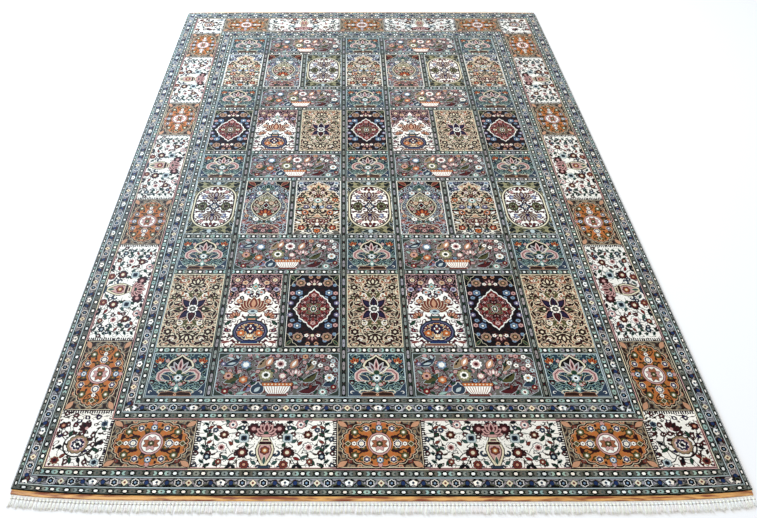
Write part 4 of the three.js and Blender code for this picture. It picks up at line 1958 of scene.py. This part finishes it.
@dataclass
class RowTree:
    """A Geometry Nodes tree that sets units, picked at random, at equal steps along a path."""

    material: bpy.types.Material
    units: bpy.types.Collection
    picks: int = 60

    def build(self) -> tuple[bpy.types.NodeTree, dict[str, str]]:
        """Build the tree.

        Returns:
            The tree, and the identifier of each named input.
        """
        tree = bpy.data.node_groups.new("row_of_units", "GeometryNodeTree")
        kinds = {"Path": "Geometry", "Units": "Collection", "Count": "Int", "Lean": "Float",
                 "Unevenness": "Float", "Seed": "Int"}
        sockets = {name: tree.interface.new_socket(name=name, in_out="INPUT", socket_type=f"NodeSocket{kind}")
                   for name, kind in kinds.items()}
        tree.interface.new_socket(name="Row", in_out="OUTPUT", socket_type="NodeSocketGeometry")
        nodes = Nodes(tree)
        given = nodes.add("NodeGroupInput").outputs
        seed = Value(nodes, given["Seed"])
        path = nodes.add("GeometryNodeMeshToCurve", None, {"Mesh": given["Path"]})
        steps = nodes.add("GeometryNodeResampleCurve", {"mode": "COUNT"},
                          {"Curve": path.outputs[0], "Count": given["Count"]})
        units = nodes.add("GeometryNodeCollectionInfo", None,
                          {"Collection": given["Units"], "Separate Children": True, "Reset Children": True})
        pick = nodes.add("FunctionNodeRandomValue", {"data_type": "INT"}, {4: 0, 5: self.picks, 8: seed})
        lean = Value(nodes, given["Lean"])
        turn = nodes.add("FunctionNodeRandomValue", {"data_type": "FLOAT"},
                         {2: lean * -1.0, 3: lean, 8: seed + 1.0})
        angles = nodes.add("ShaderNodeCombineXYZ", None, {2: turn.outputs[1]})
        spread = Value(nodes, given["Unevenness"])
        size = nodes.add("FunctionNodeRandomValue", {"data_type": "FLOAT"},
                         {2: 1.0 - spread, 3: 1.0 + spread * 0.25, 8: seed + 2.0})
        sizes = nodes.add("ShaderNodeCombineXYZ", None, {0: 1.0, 1: size.outputs[1], 2: 1.0})
        placed = nodes.add("GeometryNodeInstanceOnPoints", None,
                           {"Points": steps.outputs[0], "Instance": units.outputs[0], "Pick Instance": True,
                            "Instance Index": pick.outputs[2], "Rotation": angles.outputs[0],
                            "Scale": sizes.outputs[0]})
        real = nodes.add("GeometryNodeRealizeInstances", None, {0: placed.outputs[0]})
        dyed = nodes.add("GeometryNodeSetMaterial", None,
                         {"Geometry": real.outputs[0], "Material": self.material})
        nodes.add("NodeGroupOutput", None, {0: dyed.outputs[0]})
        return tree, {name: socket.identifier for name, socket in sockets.items()}

    def row(self, name: str, path: Ring, count: int, lean: float, unevenness: float,
            seed: int) -> bpy.types.Mesh:
        """Set the units along a path and turn them into a plain mesh.

        Args:
            name: the mesh's name.
            path: the path's points, in millimetres.
            count: how many units.
            lean: the most that one is turned, in radians.
            unevenness: how much shorter one may be, as a share.
            seed: the seed of everything random.

        Returns:
            The mesh.
        """
        line = bpy.data.meshes.new(f"{name}_path")
        edges = [(i, i + 1) for i in range(len(path) - 1)]
        line.from_pydata([tuple(MM * c for c in place) for place in path], edges, [])
        carrier = add_object(f"{name}_path", line)
        tree, identifiers = self.build()
        modifier = carrier.modifiers.new("row", "NODES")
        modifier.node_group = tree
        values = {"Units": self.units, "Count": count, "Lean": lean, "Unevenness": unevenness, "Seed": seed}
        for key, value in values.items():
            modifier[identifiers[key]] = value
        depsgraph = bpy.context.evaluated_depsgraph_get()
        mesh = bpy.data.meshes.new_from_object(carrier.evaluated_get(depsgraph), depsgraph=depsgraph)
        carrier.modifiers.remove(modifier)
        bpy.data.objects.remove(carrier)
        bpy.data.meshes.remove(line)
        mesh.name = name
        return mesh


def piece_with(extra: bpy.types.Mesh, name: str, mesh: bpy.types.Mesh,
               finish: bpy.types.Material) -> bpy.types.Object:
    """Make one piece of a row of units and what lies under or between them.

    Args:
        extra: the mesh that is added.
        name: the piece's name.
        mesh: the row's mesh.
        finish: what both are made of.

    Returns:
        The piece.
    """
    work = bmesh.new()
    work.from_mesh(mesh)
    work.from_mesh(extra)
    work.to_mesh(mesh)
    work.free()
    piece = add_object(name, mesh)
    if not mesh.materials:
        mesh.materials.append(finish)
    return piece


def unit_collection(name: str, meshes: list[bpy.types.Mesh]) -> bpy.types.Collection:
    """Keep some meshes as the units of a row, outside the scene.

    Args:
        name: the collection's name.
        meshes: the units, in order.

    Returns:
        The collection.
    """
    collection = bpy.data.collections.new(name)
    for i, mesh in enumerate(meshes):
        collection.objects.link(bpy.data.objects.new(f"{name}_{i}", mesh))
    return collection


# The rug's pieces
@dataclass
class KnottedPile:
    """The knotted pile with its whole pattern, in strips that lie side by side."""

    finish: SilkPile
    seed: int = 11
    side_folds: int = 3
    end_folds: int = 2
    field_folds: tuple[int, ...] = (2, 2, 3, 2, 2)

    def __post_init__(self) -> None:
        """Cut every chart once."""
        charts = {
            "star": star_panel(), "vase": vase_panel(), "navy": navy_panel(), "oval": oval_panel(),
            "tree": tree_panel(), "arch": arch_panel(), "palmette": palmette_panel(),
            "basket": basket_panel(), "white": white_border(), "orange": orange_border(),
            "corner": corner_tile(), "side comb": comb(SIDE_COMB), "end comb": comb(END_COMB),
        }
        self.patches = {name: chart.cut() for name, chart in charts.items()}
        self.stripes = stripe_patches()
        for name, patch in self.patches.items():
            log.info("panel %s: %d triangles", name, len(patch.faces))

    def border_panels(self, count: int, orange: float, white: float) -> list[tuple[Patch, float]]:
        """The border's panels in turn, each with its length, from an orange one to an orange one."""
        kinds = ((self.patches["orange"], orange), (self.patches["white"], white))
        return [kinds[i % 2] for i in range(count)]

    def strip(self, name: str, folds: int) -> PileStrip:
        """Start a strip with dice of its own."""
        self.seed += 1
        return PileStrip(name, folds, self.stripes, random.Random(self.seed))

    def side_strip(self, side: Side) -> PileStrip:
        """The outer guard and the border along one long side.

        Args:
            side: the side.

        Returns:
            The strip, laid out.
        """
        sign = 1 if side is Side.RIGHT else -1
        strip = self.strip(f"pile_side_{side.name.lower()}", self.side_folds)
        strip.side_guard(OUTER_GUARD, (HALF_CLOTH, HALF_PILE), side)
        left, right = sorted((sign * BORDER_OUTSIDE[0], sign * BORDER_INSIDE[0]))
        for end in (-1, 1):
            near, far = sorted((end * BORDER_OUTSIDE[1], end * BORDER_INSIDE[1]))
            foot = Side.NEAR if end < 0 else Side.FAR
            strip.lay(self.patches["corner"], (left, near, right, far), foot, sign * end > 0)
            near, far = sorted((end * BORDER_INSIDE[1], end * (BORDER_INSIDE[1] - SIDE_COMB)))
            strip.lay(self.patches["side comb"], (left, near, right, far), side, sign * end < 0)
        at = BORDER_INSIDE[1] - SIDE_COMB
        for patch, length in self.border_panels(SIDE_PANELS, SIDE_ORANGE, SIDE_WHITE):
            strip.lay(patch, (left, at - length, right, at), side)
            at -= length
        return strip

    def end_strip(self, side: Side) -> PileStrip:
        """The outer guard, the border and the inner guard along one end.

        Args:
            side: the end.

        Returns:
            The strip, laid out.
        """
        sign = 1 if side is Side.FAR else -1
        strip = self.strip(f"pile_end_{side.name.lower()}", self.end_folds)
        strip.end_guard(OUTER_GUARD, (HALF_CLOTH, HALF_PILE), side)
        strip.end_guard(INNER_GUARD, BORDER_INSIDE, side)
        near, far = sorted((sign * BORDER_OUTSIDE[1], sign * BORDER_INSIDE[1]))
        at = BORDER_INSIDE[0]
        strip.lay(self.patches["end comb"], (-at, near, END_COMB - at, far), flipped=True)
        strip.lay(self.patches["end comb"], (at - END_COMB, near, at, far))
        at = END_COMB - at
        for patch, length in self.border_panels(END_PANELS, END_ORANGE, END_WHITE):
            strip.lay(patch, (at, near, at + length, far), side)
            at += length
        return strip

    def field_strip(self, number: int) -> PileStrip:
        """One or two columns of panels, with the divider on their right, and the guard beside the field.

        Args:
            number: which strip it is, from the left, counted from 0.

        Returns:
            The strip, laid out.
        """
        columns = FIELD_STRIPS[number]
        strip = self.strip(f"pile_field_{number + 1}", self.field_folds[number])
        first = -FIELD[0] + columns[0] * (TALL[0] + DIVIDER)
        last = first + len(columns) * TALL[0] + (len(columns) - 1) * DIVIDER
        top = FIELD[1]
        for row in range(FIELD_ROWS):
            height = TALL[1] if row % 2 else SMALL[1]
            if row % 2:
                left = first
                for column in columns:
                    patch = self.patches[TALL_ROWS[row // 2][column]]
                    strip.lay(patch, (left, top - height, left + TALL[0], top))
                    left += TALL[0]
                    if column != columns[-1]:
                        strip.run(Stripe.POST, (left, top - height, left + DIVIDER, top), Side.RIGHT)
                        left += DIVIDER
            else:
                patch = self.patches["palmette" if len(columns) == 1 else "basket"]
                strip.lay(patch, (first, top - height, last, top))
            top -= height
            if row < FIELD_ROWS - 1:
                strip.run(Stripe.DIVIDER, (first, top - DIVIDER, last, top), Side.NEAR)
                top -= DIVIDER
        if number < len(FIELD_STRIPS) - 1:
            strip.run(Stripe.POST, (last, -FIELD[1], last + DIVIDER, FIELD[1]), Side.RIGHT)
        if number == 0:
            strip.side_guard(INNER_GUARD, BORDER_INSIDE, Side.LEFT)
        if number == len(FIELD_STRIPS) - 1:
            strip.side_guard(INNER_GUARD, BORDER_INSIDE, Side.RIGHT)
        return strip

    def build(self) -> None:
        strips = [self.side_strip(Side.LEFT), self.side_strip(Side.RIGHT),
                  self.end_strip(Side.NEAR), self.end_strip(Side.FAR)]
        strips += [self.field_strip(number) for number in range(len(FIELD_STRIPS))]
        material = self.finish.material()
        for strip in strips:
            piece = strip.build()
            piece.data.materials.append(material)
            plan = np.concatenate(strip.points)
            size = (np.ptp(plan, axis=0) * MM).tolist()
            declare(piece, "rug_cloth")
            size[0]
            size[1]


def declare(piece: bpy.types.Object, node: str) -> None:
    """Hang a piece on the root, hide the solid that it stands for, and report its triangles.

    Args:
        piece: the piece.
        node: the solid that it stands for.
    """
    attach(piece, "root")
    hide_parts(node)
    triangles = sum(len(polygon.vertices) - 2 for polygon in piece.data.polygons)
    log.info("%s: %d triangles", piece.name, triangles)


@dataclass
class GoldBand:
    """The plain flat-woven band past the pile at one end."""

    end: int
    finish: bpy.types.Material
    length: float = 12.0
    height: float = 3.4
    steps: int = 180

    def build(self) -> None:
        reach = side_edge(HALF_PILE)
        profile = ((0.1, 0.0), (self.length, 0.0), (self.length, 2.4), (11.0, self.height),
                   (0.8, self.height), (0.1, 3.0))
        dice = random.Random(31 + self.end)
        sections = []
        for i in range(self.steps + 1):
            x = reach * (2 * i / self.steps - 1)
            waver = dice.uniform(-0.5, 0.2)
            edge = end_edge(self.end, x)
            sections.append([(x, self.end * (edge + out + (waver if out > self.length / 2 else 0)), up)
                             for out, up in profile])
        shell = Shell()
        shell.loft(sections, GOLD.linear())
        name = f"gold_band_{END_NAMES[self.end]}"
        piece = add_object(name, shell.mesh(name, smooth_shaded=False))
        piece.data.materials.append(self.finish)
        declare(piece, "rug_cloth")
        2 * reach * MM


@dataclass
class SideCord:
    """The overcast cord along one long side: a core with slanted stitches around it."""

    side: int
    finish: bpy.types.Material
    gap: float = 0.3
    width: float = 4.0
    height: float = 5.0
    pitch: float = 4.3
    slant: float = 9.6
    end_gap: float = 3.0

    def stitches(self) -> bpy.types.Collection:
        """A few stitches of slightly different dye.

        Returns:
            The collection of them.
        """
        meshes = []
        for i, ink in enumerate((PINE, UMBER, PINE, GREEN)):
            shell = Shell()
            radii = (self.width / 2 - 0.1, self.pitch * 0.62, self.height / 2)
            shell.lump((0.0, 0.0, self.height / 2), radii, self.side * self.slant,
                       tuple(0.8 * c for c in ink.linear()), sides=8, rings=4)
            meshes.append(shell.mesh(f"stitch_{i}"))
        return unit_collection("stitches", meshes)

    def build(self) -> None:
        middle = self.gap + self.width / 2
        marks = [HALF_PILE * (i / 20 - 1) for i in range(41)]
        ends = {-1: end_edge(-1, HALF_CLOTH), 1: end_edge(1, HALF_CLOTH)}
        near, far = self.end_gap - ends[-1], ends[1] - self.end_gap
        path = [(self.side * (side_edge(y) + middle), min(max(y, near), far), 0.0) for y in marks]
        name = f"cord_{SIDE_NAMES[self.side]}"
        count = round((ends[-1] + ends[1]) / self.pitch)
        tree = RowTree(self.finish, self.stitches())
        wraps = tree.row(name, path, count, 0.0, 0.05, 5)
        shell = Shell()
        core = ((-1.5, 0.3), (1.5, 0.3), (1.7, 2.5), (1.2, 4.4), (-1.2, 4.4), (-1.7, 2.5))
        shell.loft([[(x + dx, y, z) for dx, z in core] for x, y, _ in path], PINE.linear())
        piece = piece_with(shell.mesh("core"), name, wraps, self.finish)
        declare(piece, f"side_cord_{SIDE_NAMES[self.side]}")


@dataclass
class Fringe:
    """The fringe at one end: bare warps, knotted in bunches, that end in loose tassels."""

    end: int
    finish: bpy.types.Material
    start: float = 12.3
    knot_at: float = 9.5
    length: float = 36.5
    count: int = 196
    warps: int = 4
    warp_gap: float = 2.3
    strands: int = 6
    variants: int = 6

    def lock(self, number: int) -> bpy.types.Mesh:
        """One knot with the warps that run into it and the strands that hang from it.

        Args:
            number: which of the variants it is.

        Returns:
            Its mesh, with its root at the middle.
        """
        dice = random.Random(100 * self.end + number)
        shell = Shell()
        white = IVORY.linear()

        def tone() -> tuple[float, ...]:
            """The yarn's colour, a little different each time."""
            return tuple(min(0.98, c * dice.uniform(1.02, 1.2)) for c in white)

        for k in range(self.warps):
            x = (k - (self.warps - 1) / 2) * self.warp_gap
            path = [(x, self.end * 0.2, 0.9), (x * 0.9, self.end * 3.5, 1.1),
                    (x * 0.3, self.end * (self.knot_at - 1), 1.9)]
            shell.strand(path, [0.8, 0.85, 0.7], tone(), 4)
        shell.lump((dice.uniform(-0.3, 0.3), self.end * self.knot_at, 2.3), (3.0, 2.7, 2.1),
                   dice.uniform(-15, 15), tone(), sides=7)
        # A small dark lump in the gap beside the knot: painted shadow between this knot and the next
        shell.lump((4.6, self.end * (self.knot_at + 0.6), 0.9), (0.8, 1.3, 0.8), 0.0, UMBER.linear(), 5, 4)
        for k in range(self.strands):
            share = (k + 0.5) / self.strands - 0.5
            reach = self.length * dice.uniform(0.84, 1.0)
            sway = dice.uniform(-1.4, 1.4)
            low = 1.0 + 0.7 * (k % 2)
            path = []
            for t in (0.0, 0.3, 0.66, 1.0):
                x = share * (2.6 + 6.4 * t ** 0.7) + sway * t * math.sin(3 * t + number)
                y = self.knot_at + 1.5 + (reach - self.knot_at - 1.5) * t
                path.append((x, self.end * y, max(low, 2.1 - 3 * t)))
            shell.strand(path, [0.75, 0.95, 0.9, 0.35], tone())
        return shell.mesh(f"lock_{number}")

    def build(self) -> None:
        reach = side_edge(HALF_PILE) - 4.5
        path = [(x, self.end * (end_edge(self.end, x) + self.start), 0.0)
                for x in (reach * (i / 30 - 1) for i in range(61))]
        units = unit_collection("locks", [self.lock(i) for i in range(self.variants)])
        name = f"fringe_yarn_{END_NAMES[self.end]}"
        mesh = RowTree(self.finish, units).row(name, path, self.count, 0.05, 0.1, 3 + self.end)
        shell = Shell()
        profile = ((0.0, 0.0), (self.knot_at, 0.0), (self.knot_at, 0.4), (0.0, 1.0))
        shell.loft([[(x, y + self.end * out, up) for out, up in profile] for x, y, _ in path],
                   IVORY.linear())
        piece = piece_with(shell.mesh("web", smooth_shaded=False), name, mesh, self.finish)
        declare(piece, f"fringe_{END_NAMES[self.end]}")


# The studio
@dataclass
class Studio:
    """A plain pale floor under soft light, and the camera at the photograph's place."""

    camera_at: tuple[float, float, float] = (-0.0942, -2.1682, 1.5877)
    camera_turn: tuple[float, float, float] = (0.8057, 0.0002, 0.0013)
    lens: float = 32.8
    sensor: float = 36.0
    shift: float = 0.0474
    floor_size: float = 14.0
    floor_drop: float = 0.0004
    sky: float = 0.67

    def camera(self) -> None:
        """Place the camera and make it the scene's."""
        data = bpy.data.cameras.new("camera")
        data.lens = self.lens
        data.sensor_width = self.sensor
        data.shift_x = self.shift
        camera = bpy.data.objects.new("camera", data)
        camera.location = self.camera_at
        camera.rotation_euler = self.camera_turn
        bpy.context.scene.collection.objects.link(camera)
        bpy.context.scene.camera = camera

    def floor(self) -> None:
        """Lay the pale floor."""
        half = self.floor_size / 2
        mesh = bpy.data.meshes.new("floor")
        corners = [(-half, -half), (half, -half), (half, half), (-half, half)]
        mesh.from_pydata([(x, y, -self.floor_drop) for x, y in corners], [], [(0, 1, 2, 3)])
        piece = add_object("floor", mesh)
        material, nodes, shader = new_material("pale_floor")
        nodes.connect(shader, {"Base Color": (0.92, 0.92, 0.92, 1.0), "Roughness": 0.9,
                               "Specular IOR Level": 0.1})
        mesh.materials.append(material)

    def lamp(self, name: str, at: tuple[float, float, float], aim: tuple[float, float, float], size: float,
             power: float, colour: tuple[float, float, float]) -> None:
        """Hang one large soft lamp.

        Args:
            name: its name.
            at: where it hangs.
            aim: the point that it faces.
            size: its side.
            power: its power, in watts.
            colour: its colour.
        """
        data = bpy.data.lights.new(name, "AREA")
        data.size = size
        data.energy = power
        data.color = colour
        lamp = bpy.data.objects.new(name, data)
        lamp.location = at
        lamp.rotation_euler = (Vector(aim) - Vector(at)).to_track_quat("-Z", "Y").to_euler()
        bpy.context.scene.collection.objects.link(lamp)

    def light(self) -> None:
        """Set the soft sky and the lamps."""
        world = bpy.data.worlds.new("sky")
        world.use_nodes = True
        background = world.node_tree.nodes["Background"]
        background.inputs["Color"].default_value = (1.0, 1.0, 1.0, 1.0)
        background.inputs["Strength"].default_value = self.sky
        bpy.context.scene.world = world
        self.lamp("overhead", (-0.8, 1.1, 4.0), (-0.4, 0.8, 0.0), 3.0, 82.0, (1.0, 0.985, 0.955))
        self.lamp("far_window", (-2.6, 2.8, 1.8), (-0.4, 0.3, 0.0), 1.8, 210.0, (0.58, 0.77, 1.0))
        bpy.context.scene.view_settings.view_transform = "Standard"
        bpy.context.scene.view_settings.look = "None"

    def build(self) -> None:
        """Set the studio up."""
        self.floor()
        self.light()


def main() -> None:
    """Build the rug piece by piece, then the studio around it."""
    logging.basicConfig(level=logging.INFO, format="%(name)s: %(message)s", stream=sys.stdout)
    studio = Studio()
    studio.camera()
    KnottedPile(SilkPile()).build()
    band = FlatWeave().material()
    cord = Yarn("cord_yarn", (60.0, 900.0, 60.0), 0.6, 0.2).material()
    cotton = Yarn("cotton_yarn", (900.0, 40.0, 900.0), 0.85, 0.4, 0.1).material()
    for end in (-1, 1):
        GoldBand(end, band).build()
        Fringe(end, cotton).build()
    for side in (-1, 1):
        SideCord(side, cord).build()
    studio.build()


if __name__ == "__main__":
    main()
